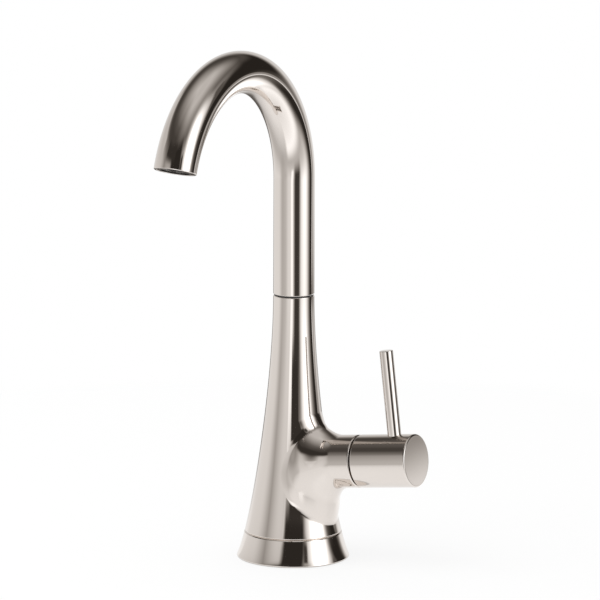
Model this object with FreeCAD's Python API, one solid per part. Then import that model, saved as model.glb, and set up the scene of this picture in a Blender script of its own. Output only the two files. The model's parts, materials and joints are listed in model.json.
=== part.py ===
import FreeCAD, Part
import math
import os
from FreeCAD import Placement, Rotation, Vector

# Cold water dispenser faucet: a flared column with a side valve arm, a swivelling gooseneck spout,
# a lever handle, and the clamp and inlet below the deck.
# Millimetres, +Z up, origin on the deck at the column's axis. The spout points to -Y, the handle to +X.

# Gooseneck spout
TUBE_DIA = 22.2
TUBE_WALL = 1.5
RISER_LEN = 62.9            # straight stretch above the swivel seam
BEND_RADIUS = 63.2          # centre line of the bend
BEND_ANGLE = 163.0          # degrees, from the riser's top to the outlet

# Outlet insert
AERATOR_BORE_LEN = 9.0      # straight bore at the outlet
AERATOR_RECESS = 1.5        # from the outlet's rim to the housing
AERATOR_WALL = 1.5
AERATOR_LIP = 1.0           # inward lip that carries the straightener
STRAIGHTENER_T = 4.0
STRAIGHTENER_HOLE_DIA = 1.6
STRAIGHTENER_PITCH = 2.3
AERATOR_WASHER_T = 1.0

# Column and base ring
COLUMN_TOP = 143.9          # deck to the swivel seam
BASE_DIA = 62.0             # before the rim is rounded
BASE_RING_HEIGHT = 14.4
FLARE_FOOT_LEAN = 7.7       # how far the flare's lower tangent leans in
FLARE_FOOT_RISE = 15.0      # and how far it rises
FLARE_NECK_RISE = 50.0      # length of the flare's upper, upright tangent
LIP_ROUND = 0.45            # rounded lips beside each seam
SEAT_CLEARANCE = 0.1        # round a piece that drops into its recess
BASE_RIM_ROUND = 0.7        # lower edge of the base ring
SPIGOT_LEN = 4.0            # column's spigot in the base ring
SPIGOT_WALL = 6.65          # round the shank's thread
BASE_WEB = 2.0              # web under the spigot
BASE_BOSS_WALL = 2.8        # round the shank
GASKET_WIDTH = 4.0
GASKET_T = 2.0
GASKET_INSET = 2.25         # from the base ring's edge
GASKET_LAND = 1.5           # inside the gasket

# Arm and waterways
HUB_DIA = 28.6              # arm and hub alike
HUB_TILT = 6.7              # degrees above level
HUB_AXIS_Z = 51.9           # height where the hub's axis crosses the column's
ARM_REACH = 41.9            # along the hub's axis, to the hub seam
ARM_BLEND = 9.0             # fillet between the arm and the bulge
BULGE_DIA = 39.8            # upright egg-shaped bulge that the arm grows from
BULGE_HEIGHT = 81.5
BULGE_Z = 37.65             # middle of the bulge above the deck
BULGE_OFFSET = 6.65         # from the column's axis towards the arm
BULGE_FOOT = 1.0            # from the column's lower edge to the bulge's foot
ARM_WALL = 3.3              # round the cartridge chamber
INLET_BORE_DIA = 14.0
OUTLET_BORE_DIA = 11.0
WATERWAY_WALL = 6.0         # between the inlet's and the outlet's bores
PORT_DIA = 4.4
PORT_OFFSET = 5.6           # from the hub's axis

# Swivel
SWIVEL_SEAM = 0.7
SWIVEL_RUN = 0.03           # between the glide ring and the spout
SWIVEL_CLEARANCE = 0.05
GLIDE_SETBACK = 0.5         # from the tube's outside
SOCKET_WALL = 2.6
SOCKET_DEPTH = 27.4
SOCKET_END_GAP = 1.0
SPIGOT_PLUG_LEN = 12.0      # brazed into the tube
BRAZE_GAP = 0.05
SPIGOT_BORE_WALL = 1.6      # under the grooves
O_RING_GROOVE_DEPTH = 1.3
O_RING_GROOVE_WIDTH = 1.9
O_RING_LOW = 4.0            # groove middles, above the spigot's lower end
O_RING_HIGH = 17.0
RETAINER_RISE = 9.0
RETAINER_GROOVE_DEPTH = 1.0
RETAINER_SCREW_DIA = 3.0
RETAINER_TIP_GAP = 0.3
RETAINER_SETBACK = 0.5      # below the column's surface
RETAINER_KEY_AF = 1.5
RETAINER_KEY_DEPTH = 1.4

# Cartridge, stacked outwards from the chamber's floor
SEAL_T = 1.5
FIXED_DISC_T = 3.0
MOVING_DISC_T = 4.0
DISC_RUN = 0.02
CARTRIDGE_CLEARANCE = 0.4
CARTRIDGE_WALL = 1.6
CARTRIDGE_NECK_LEN = 9.9
CARTRIDGE_GROOVE_DEPTH = 1.2
CARTRIDGE_GROOVE_WIDTH = 2.2
BRIDGE_DEPTH = 1.6          # waterway under the moving disc
TONGUE_WIDTH = 3.0
TONGUE_DEPTH = 1.2
TONGUE_CLEARANCE = 0.05
FLANGE_T = 4.0
FLANGE_SETBACK = 1.5        # from the disc's edge
STOP_GAP = 0.2
STOP_ANGLE = 90.0           # degrees that the lever turns
STOP_SPARE = 0.5            # degrees left at each stop
THRUST_T = 0.6
BONNET_THREAD_LEN = 6.2
BONNET_HEAD_LEN = 4.8
BONNET_WALL = 2.2
THREAD_CLEARANCE = 0.05
STEM_DIA = 8.0
STEM_RUN = 0.05
STEM_GROOVE_DEPTH = 1.1
STEM_GROOVE_WIDTH = 1.6
STEM_FLAT_DEPTH = 0.8
CLIP_T = 0.8
CLIP_GROOVE_DEPTH = 0.8
CLIP_WIDTH = 2.8
CLIP_MOUTH = 5.0
CLIP_RUN = 0.1
SEAL_EASE = 0.01            # an O-ring's clearance on its groove's floor

# Handle
HUB_SEAM = 0.6
HUB_LEN = 33.4
HUB_WALL = 2.3
HUB_END_CHAMFER = 0.5
HEAD_CLEARANCE = 1.0        # between the bonnet nut and the hub
STEM_GRIP = 12.0            # stem in the hub
STEM_END_GAP = 0.5
GRIP_CLEARANCE = 0.03
SET_SCREW_DIA = 4.0
SET_SCREW_LEN = 6.0
SET_SCREW_KEY_AF = 2.0
SET_SCREW_KEY_DEPTH = 2.0
LEVER_DIA = 7.3
LEVER_PLACE = 21.45         # from the hub's inner end
LEVER_RISE = 45.46          # above the hub's surface
LEVER_SEAT = 5.0
LEVER_STUD_DIA = 4.0
LEVER_STUD_WALL = 1.0       # metal left above the stem's bore
LEVER_TIP_CHAMFER = 0.4

# Shank and clamp
SHANK_DIA = 26.4
SHANK_WALL = 4.2
SHANK_DROP = 62.0           # below the deck
SHANK_PITCH = 1.814         # thread, 14 to the inch
SHANK_LEAD = 2.0            # plain stretch at each end of the thread
THREAD_DEPTH = 0.61         # as a share of the pitch
SHANK_GRIP = 15.6           # in the column
SHANK_SEAL_T = 1.5
SHANK_HOLE_CLEARANCE = 0.5
DECK_THICKNESS = 30.0       # deck that the clamp is set for
WASHER_CLEARANCE = 0.3
RUBBER_WASHER_DIA = 48.0
RUBBER_WASHER_T = 3.0
CLAMP_WASHER_DIA = 46.0
CLAMP_WASHER_T = 2.0
NUT_AF = 36.0
NUT_HEIGHT = 9.0
NUT_CHAMFER_ANGLE = 30.0    # degrees

# Inlet
INLET_GRIP = 10.0           # nipple's thread in the shank
INLET_WASHER_T = 1.5
INLET_WASHER_SETBACK = 0.7  # from the shank's outside
INLET_HEX_AF = 21.0
INLET_HEX_LEN = 6.0
INLET_THREAD_DIA = 14.28
INLET_THREAD_LEN = 12.0
NIPPLE_BORE_DIA = 8.0
SCREEN_WALL = 1.5           # of the nipple round the screen
SCREEN_DEPTH = 2.5
SCREEN_T = 0.8
SCREEN_RIM = 1.2
SCREEN_HOLE_DIA = 1.2
SCREEN_PITCH = 2.0

UP = Vector(0, 0, 1)
ORIGIN = Vector(0, 0, 0)

tube_r = TUBE_DIA / 2
tube_bore_r = tube_r - TUBE_WALL
hub_r = HUB_DIA / 2
shank_r = SHANK_DIA / 2
stem_r = STEM_DIA / 2
tube_bottom = COLUMN_TOP + SWIVEL_SEAM
bend_start = tube_bottom + RISER_LEN
bend_angle = math.radians(BEND_ANGLE)

# Radii that follow from the walls around them
socket_r = tube_r - SOCKET_WALL
spigot_r = socket_r - SWIVEL_CLEARANCE
spigot_bottom = COLUMN_TOP - SOCKET_DEPTH + SOCKET_END_GAP
chamber_r = hub_r - ARM_WALL
cartridge_r = chamber_r - CARTRIDGE_CLEARANCE
disc_r = cartridge_r - CARTRIDGE_WALL - SEAT_CLEARANCE
flange_r = disc_r - FLANGE_SETBACK
cavity_r = hub_r - HUB_WALL
bonnet_corner_r = cavity_r - HEAD_CLEARANCE
bonnet_bore_r = bonnet_corner_r * math.cos(math.pi / 6) - BONNET_WALL
aerator_bore_r = tube_bore_r + SEAT_CLEARANCE
aerator_r = aerator_bore_r - THREAD_CLEARANCE
aerator_inner_r = aerator_r - AERATOR_WALL
aerator_inner_end = AERATOR_WASHER_T - AERATOR_BORE_LEN

# Places along the hub's axis
cartridge_top = ARM_REACH - BONNET_THREAD_LEN
pocket_top = cartridge_top - CARTRIDGE_NECK_LEN
thrust_bottom = pocket_top - DISC_RUN - THRUST_T
flange_bottom = thrust_bottom - FLANGE_T
moving_bottom = flange_bottom - MOVING_DISC_T
fixed_bottom = moving_bottom - DISC_RUN - FIXED_DISC_T
chamber_floor = fixed_bottom - SEAL_T
hub_start = ARM_REACH + HUB_SEAM
hub_end = hub_start + HUB_LEN
cavity_end = ARM_REACH + BONNET_HEAD_LEN + HEAD_CLEARANCE
stem_end = cavity_end + STEM_GRIP
lever_place = hub_start + LEVER_PLACE
lever_seat = hub_r - LEVER_SEAT
lever_stud_end = stem_r + GRIP_CLEARANCE + LEVER_STUD_WALL
seal_place = (pocket_top + cartridge_top) / 2      # both of the neck's O-rings
set_screw_place = cavity_end + STEM_GRIP / 2
clip_bottom = cartridge_top + CLIP_RUN

# Heights of the base, the shank and the inlet
column_spigot_r = shank_r + SPIGOT_WALL
column_spigot_bottom = BASE_RING_HEIGHT - SPIGOT_LEN
shank_top = column_spigot_bottom + SHANK_GRIP
shank_bore_r = shank_r - SHANK_WALL
shank_socket_top = shank_top + SHANK_SEAL_T
gasket_out_r = BASE_DIA / 2 - GASKET_INSET
gasket_in_r = gasket_out_r - GASKET_WIDTH
nipple_hex_top = -SHANK_DROP - INLET_WASHER_T
nipple_hex_bottom = nipple_hex_top - INLET_HEX_LEN
nipple_bottom = nipple_hex_bottom - INLET_THREAD_LEN
nipple_r = shank_bore_r - THREAD_CLEARANCE
nipple_top = INLET_GRIP - SHANK_DROP
rubber_bottom = -DECK_THICKNESS - RUBBER_WASHER_T
clamp_bottom = rubber_bottom - CLAMP_WASHER_T


def hub_frame():
    """Frame of the arm and the handle: Z along the hub's axis, X up the lever, Y to the front."""
    tilt = math.radians(HUB_TILT)
    along = Vector(math.cos(tilt), 0, math.sin(tilt))
    upward = Vector(-math.sin(tilt), 0, math.cos(tilt))
    return Placement(Vector(0, 0, HUB_AXIS_Z), Rotation(upward, Vector(0, -1, 0), along, "ZXY"))


def outlet_frame():
    """Frame of the outlet: Z out of the spout along the bend's end, X to the right."""
    outward = Vector(0, -math.sin(bend_angle), math.cos(bend_angle))
    forward = BEND_RADIUS * (1 - math.cos(bend_angle))
    centre = Vector(0, -forward, bend_start + BEND_RADIUS * math.sin(bend_angle))
    return Placement(centre, Rotation(Vector(1, 0, 0), outward.cross(Vector(1, 0, 0)), outward, "ZXY"))


def placed(shape, frame):
    """Copy of a shape, moved from a local frame to the faucet's frame."""
    return shape.transformed(frame.toMatrix(), True)


def lathe(outline):
    """Solid turned about Z from a closed outline of (radius, height) points."""
    points = [Vector(r, 0, z) for r, z in outline]
    return Part.Face(Part.makePolygon(points + points[:1])).revolve(ORIGIN, UP, 360)


def rod(radius, low, high, x=0.0, y=0.0):
    """Upright cylinder between two heights."""
    return Part.makeCylinder(radius, high - low, Vector(x, y, low))


def ring(outer, inner, low, high):
    """Flat ring about Z."""
    return rod(outer, low, high).cut(rod(inner, low, high))


def threaded_rod(radius, low, high, pitch, lead):
    """Upright rod with a thread's ribs between two plain ends, each rib drawn as a ring."""
    count = int((high - low - 2 * lead) / pitch)
    root = radius - THREAD_DEPTH * pitch
    start = (low + high - count * pitch) / 2
    outline = [(0, low), (radius, low)]
    for rib in range(count):
        bottom = start + rib * pitch
        outline += [(radius, bottom), (root, bottom + pitch / 2)]
    outline += [(radius, start + count * pitch), (radius, high), (0, high)]
    return lathe(outline)


def cross_rod(radius, low, high, place):
    """Cylinder along local X between two heights, at a place along the local Z."""
    return Part.makeCylinder(radius, high - low, Vector(low, 0, place), Vector(1, 0, 0))


def hexagon(across_flats, low, high):
    """Upright hexagonal prism about Z."""
    corner = across_flats / 2 / math.cos(math.pi / 6)
    turns = [k * math.pi / 3 for k in range(7)]
    points = [Vector(corner * math.cos(turn), corner * math.sin(turn), low) for turn in turns]
    return Part.Face(Part.makePolygon(points)).extrude(Vector(0, 0, high - low))


def chamfered_hexagon(across_flats, low, high):
    """Hexagonal prism whose corners are turned down at both ends."""
    inside = across_flats / 2
    corner = inside / math.cos(math.pi / 6)
    fall = (corner - inside) * math.tan(math.radians(NUT_CHAMFER_ANGLE))
    turned = lathe([(0, low), (inside, low), (corner, low + fall),
                    (corner, high - fall), (inside, high), (0, high)])
    return hexagon(across_flats, low, high).common(turned)


def sector(outer, inner, low, high, start, sweep):
    """Part of a flat ring, from a start angle over a sweep, in degrees."""
    face = Part.Face(Part.makePolygon([Vector(r, 0, z) for r, z in (
        (inner, low), (outer, low), (outer, high), (inner, high), (inner, low))]))
    face.rotate(ORIGIN, UP, start)
    return face.revolve(ORIGIN, UP, sweep)


def o_ring(groove_r, outer_r, height):
    """O-ring that fills the space from a groove's floor out to a radius."""
    section = (outer_r - groove_r) / 2
    return Part.makeTorus(groove_r + section, section, Vector(0, 0, height))


def perforations(radius, hole_dia, pitch, low, high):
    """Round holes on a triangular grid, as many as fit whole inside a radius."""
    reach = int(radius / pitch) + 1
    holes = []
    for row in range(-reach, reach + 1):
        for column in range(-2 * reach, 2 * reach + 1):
            x = pitch * (column + row / 2)
            y = pitch * row * math.sin(math.pi / 3)
            if math.hypot(x, y) + pitch / 2 <= radius:
                holes.append(rod(hole_dia / 2, low, high, x, y))
    return holes


def circles_at(shape, radius, centre):
    """Round edges of a given radius about a given point."""
    return [e for e in shape.Edges if isinstance(e.Curve, Part.Circle)
            and abs(e.Curve.Radius - radius) < 1e-4 and e.Curve.Center.distanceToPoint(centre) < 1e-4]


def flare_curve():
    """Outline of the column and its foot, from the deck to the swivel seam."""
    curve = Part.BezierCurve()
    base_r = BASE_DIA / 2
    curve.setPoles([Vector(base_r, 0, 0), Vector(base_r - FLARE_FOOT_LEAN, 0, FLARE_FOOT_RISE),
                    Vector(tube_r, 0, COLUMN_TOP - FLARE_NECK_RISE), Vector(tube_r, 0, COLUMN_TOP)])
    return curve


def flare_parameter(height):
    """Parameter of the flare's curve at a height above the deck."""
    curve = flare_curve()
    low, high = 0.0, 1.0
    while high - low > 1e-12:
        middle = (low + high) / 2
        if curve.value(middle).z < height:
            low = middle
        else:
            high = middle
    return high


def flare_radius(height):
    """Radius of the flare at a height above the deck."""
    return flare_curve().value(flare_parameter(height)).x


def flare_solid(low, high):
    """Slice of the flared form between two heights, with its seam on the side away from the arm."""
    curve = flare_curve()
    curve.segment(flare_parameter(low), flare_parameter(high))
    bottom = curve.value(0)
    top = curve.value(1)
    corners = [top, Vector(0, 0, top.z), Vector(0, 0, bottom.z), bottom]
    edges = [curve.toShape()] + [Part.makeLine(a, b) for a, b in zip(corners, corners[1:])]
    form = Part.Face(Part.Wire(edges)).revolve(ORIGIN, UP, 360)
    form.rotate(ORIGIN, UP, 180)
    return form


def spout_form(radius):
    """Solid riser and bend of a given radius, from the swivel seam to the outlet."""
    section = Part.Face(Part.Wire(Part.makeCircle(radius, Vector(0, 0, bend_start))))
    bend = section.revolve(Vector(0, -BEND_RADIUS, bend_start), Vector(1, 0, 0), BEND_ANGLE)
    return rod(radius, tube_bottom, bend_start).fuse(bend).removeSplitter()


def make_spout_tube():
    outside = spout_form(tube_r)
    inside = spout_form(tube_bore_r)
    straight = placed(rod(aerator_bore_r, -AERATOR_BORE_LEN, 0), outlet_frame())
    tube = outside.cut(inside).cut(straight)
    ends = (Vector(0, 0, tube_bottom), outlet_frame().Base)
    return tube.makeFillet(LIP_ROUND, [e for end in ends for e in circles_at(tube, tube_r, end)])


def make_spout_spigot():
    groove_r = spigot_r - O_RING_GROOVE_DEPTH
    plug_r = tube_bore_r - BRAZE_GAP
    plug_top = tube_bottom + SPIGOT_PLUG_LEN
    body = rod(spigot_r, spigot_bottom, tube_bottom).fuse(rod(plug_r, tube_bottom, plug_top))
    body = body.cut(rod(groove_r - SPIGOT_BORE_WALL, spigot_bottom, plug_top))
    half = O_RING_GROOVE_WIDTH / 2
    for rise in (O_RING_LOW, O_RING_HIGH):
        middle = spigot_bottom + rise
        body = body.cut(ring(socket_r, groove_r, middle - half, middle + half))
    half = RETAINER_SCREW_DIA / 2 + RETAINER_TIP_GAP
    middle = spigot_bottom + RETAINER_RISE
    return body.cut(ring(socket_r, spigot_r - RETAINER_GROOVE_DEPTH, middle - half, middle + half))


def make_spout_o_ring(rise):
    return o_ring(spigot_r - O_RING_GROOVE_DEPTH + SEAL_EASE, spigot_r, spigot_bottom + rise)


def make_spout_grub_screw():
    """Screw in the column's back, whose tip stands in the spigot's groove."""
    height = spigot_bottom + RETAINER_RISE
    tip = spigot_r - RETAINER_GROOVE_DEPTH + RETAINER_TIP_GAP
    length = flare_radius(height) - RETAINER_SETBACK - tip
    screw = rod(RETAINER_SCREW_DIA / 2, 0, length)
    screw = screw.cut(hexagon(RETAINER_KEY_AF, length - RETAINER_KEY_DEPTH, length))
    return placed(screw, Placement(Vector(0, tip, height), Rotation(UP, Vector(0, 1, 0))))


def make_glide_ring():
    return ring(tube_r - GLIDE_SETBACK, socket_r, COLUMN_TOP, tube_bottom - SWIVEL_RUN)


def make_aerator_housing():
    body = ring(aerator_r, aerator_inner_r, aerator_inner_end, -AERATOR_RECESS)
    lip = ring(aerator_inner_r, aerator_inner_r - AERATOR_LIP, -AERATOR_RECESS - AERATOR_LIP, -AERATOR_RECESS)
    return placed(body.fuse(lip).removeSplitter(), outlet_frame())


def make_flow_straightener():
    outer = -AERATOR_RECESS - AERATOR_LIP
    radius = aerator_inner_r - THREAD_CLEARANCE
    disc = rod(radius, outer - STRAIGHTENER_T, outer)
    holes = perforations(aerator_inner_r - AERATOR_LIP, STRAIGHTENER_HOLE_DIA, STRAIGHTENER_PITCH,
                         outer - STRAIGHTENER_T, outer)
    return placed(disc.cut(holes), outlet_frame())


def make_aerator_washer():
    return placed(ring(aerator_r, aerator_inner_r, -AERATOR_BORE_LEN, aerator_inner_end), outlet_frame())


def make_base_ring():
    counterbore = column_spigot_bottom - SEAT_CLEARANCE
    body = flare_solid(0, BASE_RING_HEIGHT)
    top = Vector(0, 0, BASE_RING_HEIGHT)
    body = body.makeFillet(LIP_ROUND, circles_at(body, flare_radius(BASE_RING_HEIGHT), top))
    body = body.makeFillet(BASE_RIM_ROUND, circles_at(body, BASE_DIA / 2, ORIGIN))
    shank_hole_r = shank_r + SHANK_HOLE_CLEARANCE
    body = body.cut(rod(shank_hole_r, 0, BASE_RING_HEIGHT))
    body = body.cut(rod(column_spigot_r + SEAT_CLEARANCE, counterbore, BASE_RING_HEIGHT))
    body = body.cut(ring(gasket_in_r - GASKET_LAND, shank_hole_r + BASE_BOSS_WALL, 0, counterbore - BASE_WEB))
    return body.cut(ring(gasket_out_r, gasket_in_r, 0, GASKET_T))


def make_deck_gasket():
    return ring(gasket_out_r - SEAT_CLEARANCE, gasket_in_r + SEAT_CLEARANCE, 0, GASKET_T)


def bulge_solid():
    """Egg-shaped bulge on the column's arm side, flat at its foot, with its seam inside the column."""
    half = BULGE_HEIGHT / 2
    foot = BASE_RING_HEIGHT + BULGE_FOOT
    middle = Vector(0, 0, BULGE_Z)
    ellipse = Part.Ellipse(middle + UP * half, middle + Vector(BULGE_DIA / 2, 0, 0), middle)
    arc = Part.ArcOfEllipse(ellipse, 0, math.acos((foot - BULGE_Z) / half)).toShape()
    corners = [arc.valueAt(arc.LastParameter), Vector(0, 0, foot), arc.valueAt(arc.FirstParameter)]
    edges = [arc] + [Part.makeLine(a, b) for a, b in zip(corners, corners[1:])]
    bulge = Part.Face(Part.Wire(edges)).revolve(ORIGIN, UP, 360)
    bulge.rotate(ORIGIN, UP, 180)
    bulge.translate(Vector(BULGE_OFFSET, 0, 0))
    return bulge


def arm_blend_edges(shape):
    """Edges where the arm leaves the bulge: on the arm's surface, neither straight nor round."""
    frame = hub_frame()
    edges = []
    for edge in shape.Edges:
        if isinstance(edge.Curve, (Part.Line, Part.Circle)):
            continue
        local = [frame.inverse().multVec(p) for p in edge.discretize(7)]
        if all(abs(math.hypot(p.x, p.y) - hub_r) < 1e-3 for p in local):
            edges.append(edge)
    return edges


def make_column():
    frame = hub_frame()
    flare = flare_solid(BASE_RING_HEIGHT, COLUMN_TOP)
    lips = circles_at(flare, flare_radius(BASE_RING_HEIGHT), Vector(0, 0, BASE_RING_HEIGHT))
    lips += circles_at(flare, tube_r, Vector(0, 0, COLUMN_TOP))
    arm = rod(hub_r, 0, ARM_REACH)
    arm = arm.makeFillet(LIP_ROUND, circles_at(arm, hub_r, Vector(0, 0, ARM_REACH)))
    body = flare.makeFillet(LIP_ROUND, lips).fuse([bulge_solid(), placed(arm, frame)])
    body = body.removeSplitter()
    body = body.makeFillet(ARM_BLEND, arm_blend_edges(body))
    spigot = rod(column_spigot_r, column_spigot_bottom, BASE_RING_HEIGHT + SPIGOT_LEN)
    body = body.fuse(spigot).removeSplitter()
    half_wall = WATERWAY_WALL / 2
    bores = [
        rod(shank_r + THREAD_CLEARANCE, column_spigot_bottom, shank_socket_top),
        rod(INLET_BORE_DIA / 2, shank_socket_top, HUB_AXIS_Z - half_wall),
        rod(OUTLET_BORE_DIA / 2, HUB_AXIS_Z + half_wall, COLUMN_TOP),
        rod(socket_r, COLUMN_TOP - SOCKET_DEPTH, COLUMN_TOP),
        placed(rod(chamber_r, chamber_floor, ARM_REACH), frame),
        placed(rod(PORT_DIA / 2, 0, chamber_floor, PORT_OFFSET), frame),
        placed(rod(PORT_DIA / 2, 0, chamber_floor, -PORT_OFFSET), frame),
        Part.makeCylinder(RETAINER_SCREW_DIA / 2 + THREAD_CLEARANCE, tube_r * 2,
                          Vector(0, 0, spigot_bottom + RETAINER_RISE), Vector(0, 1, 0)),
    ]
    return body.cut(bores)


def port_holes(low, high):
    """The inlet's and the outlet's ports, below and above the hub's axis."""
    return [rod(PORT_DIA / 2, low, high, side * PORT_OFFSET) for side in (-1, 1)]


def make_cartridge_seal():
    seal = rod(disc_r, chamber_floor, fixed_bottom)
    return placed(seal.cut(port_holes(chamber_floor, fixed_bottom)), hub_frame())


def make_fixed_disc():
    top = fixed_bottom + FIXED_DISC_T
    return placed(rod(disc_r, fixed_bottom, top).cut(port_holes(fixed_bottom, top)), hub_frame())


def make_moving_disc():
    """Upper disc: a blind bridge below joins the ports when it is turned, a slot above takes the stem."""
    disc = rod(disc_r, moving_bottom, flange_bottom)
    bridge = [rod(PORT_DIA / 2, moving_bottom, moving_bottom + BRIDGE_DEPTH, 0, side * PORT_OFFSET)
              for side in (-1, 1)]
    bridge.append(Part.makeBox(PORT_DIA, 2 * PORT_OFFSET, BRIDGE_DEPTH,
                               Vector(-PORT_DIA / 2, -PORT_OFFSET, moving_bottom)))
    slot = Part.makeBox(2 * disc_r, TONGUE_WIDTH, TONGUE_DEPTH,
                        Vector(-disc_r, -TONGUE_WIDTH / 2, flange_bottom - TONGUE_DEPTH))
    return placed(disc.cut(bridge).cut(slot), hub_frame())


def make_cartridge_body():
    body = rod(cartridge_r, chamber_floor, cartridge_top)
    pocket_r = disc_r + SEAT_CLEARANCE
    body = body.cut(rod(pocket_r, chamber_floor, pocket_top))
    body = body.cut(rod(stem_r + STEM_RUN, pocket_top, cartridge_top))
    stop_sweep = 360 - 2 * STOP_ANGLE - 2 * STOP_SPARE
    stop = sector(pocket_r + SEAT_CLEARANCE, flange_r + STOP_GAP, flange_bottom + STOP_GAP, pocket_top,
                  2 * STOP_ANGLE + STOP_SPARE, stop_sweep)
    groove = ring(chamber_r, cartridge_r - CARTRIDGE_GROOVE_DEPTH, seal_place - CARTRIDGE_GROOVE_WIDTH / 2,
                  seal_place + CARTRIDGE_GROOVE_WIDTH / 2)
    return placed(body.fuse(stop).cut(groove).removeSplitter(), hub_frame())


def make_cartridge_o_ring():
    groove_r = cartridge_r - CARTRIDGE_GROOVE_DEPTH + SEAL_EASE
    return placed(o_ring(groove_r, chamber_r - SEAL_EASE, seal_place), hub_frame())


def make_valve_stem():
    """Stem with the stop lug and the tongue that drives the moving disc."""
    top = flange_bottom + FLANGE_T
    body = rod(flange_r, flange_bottom, top).fuse(rod(stem_r, top, stem_end))
    lug = sector(disc_r - STOP_GAP, stem_r, flange_bottom + 2 * STOP_GAP, top, 0, STOP_ANGLE)
    width = TONGUE_WIDTH - 2 * TONGUE_CLEARANCE
    depth = TONGUE_DEPTH - TONGUE_CLEARANCE
    tongue = Part.makeBox(2 * flange_r, width, depth, Vector(-flange_r, -width / 2, flange_bottom - depth))
    tongue = tongue.common(rod(flange_r, flange_bottom - depth, flange_bottom))
    body = body.fuse([lug, tongue]).removeSplitter()
    grooves = [
        ring(2 * stem_r, stem_r - STEM_GROOVE_DEPTH, seal_place - STEM_GROOVE_WIDTH / 2,
             seal_place + STEM_GROOVE_WIDTH / 2),
        ring(2 * stem_r, stem_r - CLIP_GROOVE_DEPTH, clip_bottom, clip_bottom + CLIP_T),
        Part.makeBox(2 * stem_r, 2 * stem_r, STEM_GRIP,
                     Vector(STEM_FLAT_DEPTH - 3 * stem_r, -stem_r, cavity_end)),
    ]
    return placed(body.cut(grooves), hub_frame())


def make_stem_o_ring():
    groove_r = stem_r - STEM_GROOVE_DEPTH + SEAL_EASE
    return placed(o_ring(groove_r, stem_r, seal_place), hub_frame())


def make_thrust_washer():
    washer = ring(flange_r - STOP_GAP, stem_r + GRIP_CLEARANCE, thrust_bottom, thrust_bottom + THRUST_T)
    return placed(washer, hub_frame())


def make_stem_clip():
    """Open clip in the stem's groove, which keeps the stem in the cartridge."""
    inner = stem_r - CLIP_GROOVE_DEPTH + GRIP_CLEARANCE
    outer = inner + CLIP_WIDTH
    clip = ring(outer, inner, clip_bottom, clip_bottom + CLIP_T)
    mouth = Part.makeBox(outer, CLIP_MOUTH, CLIP_T, Vector(0, -CLIP_MOUTH / 2, clip_bottom))
    return placed(clip.cut(mouth), hub_frame())


def make_bonnet_nut():
    thread = rod(chamber_r - THREAD_CLEARANCE, cartridge_top, ARM_REACH)
    head = hexagon(2 * bonnet_corner_r * math.cos(math.pi / 6), ARM_REACH, ARM_REACH + BONNET_HEAD_LEN)
    nut = thread.fuse(head).cut(rod(bonnet_bore_r, cartridge_top, ARM_REACH + BONNET_HEAD_LEN))
    return placed(nut, hub_frame())


def make_handle_hub():
    body = rod(hub_r, hub_start, hub_end)
    body = body.makeFillet(LIP_ROUND, circles_at(body, hub_r, Vector(0, 0, hub_start)))
    body = body.makeChamfer(HUB_END_CHAMFER, circles_at(body, hub_r, Vector(0, 0, hub_end)))
    bores = [
        rod(cavity_r, hub_start, cavity_end),
        rod(stem_r + GRIP_CLEARANCE, cavity_end, stem_end + STEM_END_GAP),
        cross_rod(SET_SCREW_DIA / 2 + GRIP_CLEARANCE, -2 * hub_r, 0, set_screw_place),
        cross_rod(LEVER_DIA / 2 + GRIP_CLEARANCE, lever_seat, 2 * hub_r, lever_place),
        cross_rod(LEVER_STUD_DIA / 2 + GRIP_CLEARANCE, lever_stud_end, hub_r, lever_place),
    ]
    return placed(body.cut(bores), hub_frame())


def make_lever_rod():
    lever = cross_rod(LEVER_DIA / 2, lever_seat, hub_r + LEVER_RISE, lever_place)
    tip = Vector(hub_r + LEVER_RISE, 0, lever_place)
    lever = lever.makeChamfer(LEVER_TIP_CHAMFER, circles_at(lever, LEVER_DIA / 2, tip))
    stud = cross_rod(LEVER_STUD_DIA / 2, lever_stud_end, lever_seat, lever_place)
    return placed(lever.fuse(stud), hub_frame())


def make_handle_set_screw():
    """Socket screw from the hub's underside to the stem's flat."""
    screw = rod(SET_SCREW_DIA / 2, 0, SET_SCREW_LEN)
    screw = screw.cut(hexagon(SET_SCREW_KEY_AF, SET_SCREW_LEN - SET_SCREW_KEY_DEPTH, SET_SCREW_LEN))
    flat = Vector(STEM_FLAT_DEPTH - stem_r, 0, set_screw_place)
    return placed(placed(screw, Placement(flat, Rotation(UP, Vector(-1, 0, 0)))), hub_frame())


def make_mounting_shank():
    thread = threaded_rod(shank_r, -SHANK_DROP, 0, SHANK_PITCH, SHANK_LEAD)
    body = thread.fuse(rod(shank_r, 0, shank_top)).removeSplitter()
    return body.cut(rod(shank_bore_r, -SHANK_DROP, shank_top))


def make_shank_seal():
    return ring(shank_r, INLET_BORE_DIA / 2, shank_top, shank_socket_top)


def make_rubber_washer():
    return ring(RUBBER_WASHER_DIA / 2, shank_r + WASHER_CLEARANCE, rubber_bottom, -DECK_THICKNESS)


def make_clamp_washer():
    return ring(CLAMP_WASHER_DIA / 2, shank_r + WASHER_CLEARANCE, clamp_bottom, rubber_bottom)


def make_mounting_nut():
    nut = chamfered_hexagon(NUT_AF, clamp_bottom - NUT_HEIGHT, clamp_bottom)
    return nut.cut(rod(shank_r + THREAD_CLEARANCE, clamp_bottom - NUT_HEIGHT, clamp_bottom))


def make_inlet_nipple():
    body = rod(nipple_r, nipple_hex_top, nipple_top).fuse(
        [hexagon(INLET_HEX_AF, nipple_hex_bottom, nipple_hex_top),
         rod(INLET_THREAD_DIA / 2, nipple_bottom, nipple_hex_bottom)])
    body = body.cut(rod(NIPPLE_BORE_DIA / 2, nipple_bottom, nipple_top))
    return body.cut(rod(nipple_r - SCREEN_WALL, nipple_top - SCREEN_DEPTH, nipple_top))


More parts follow.
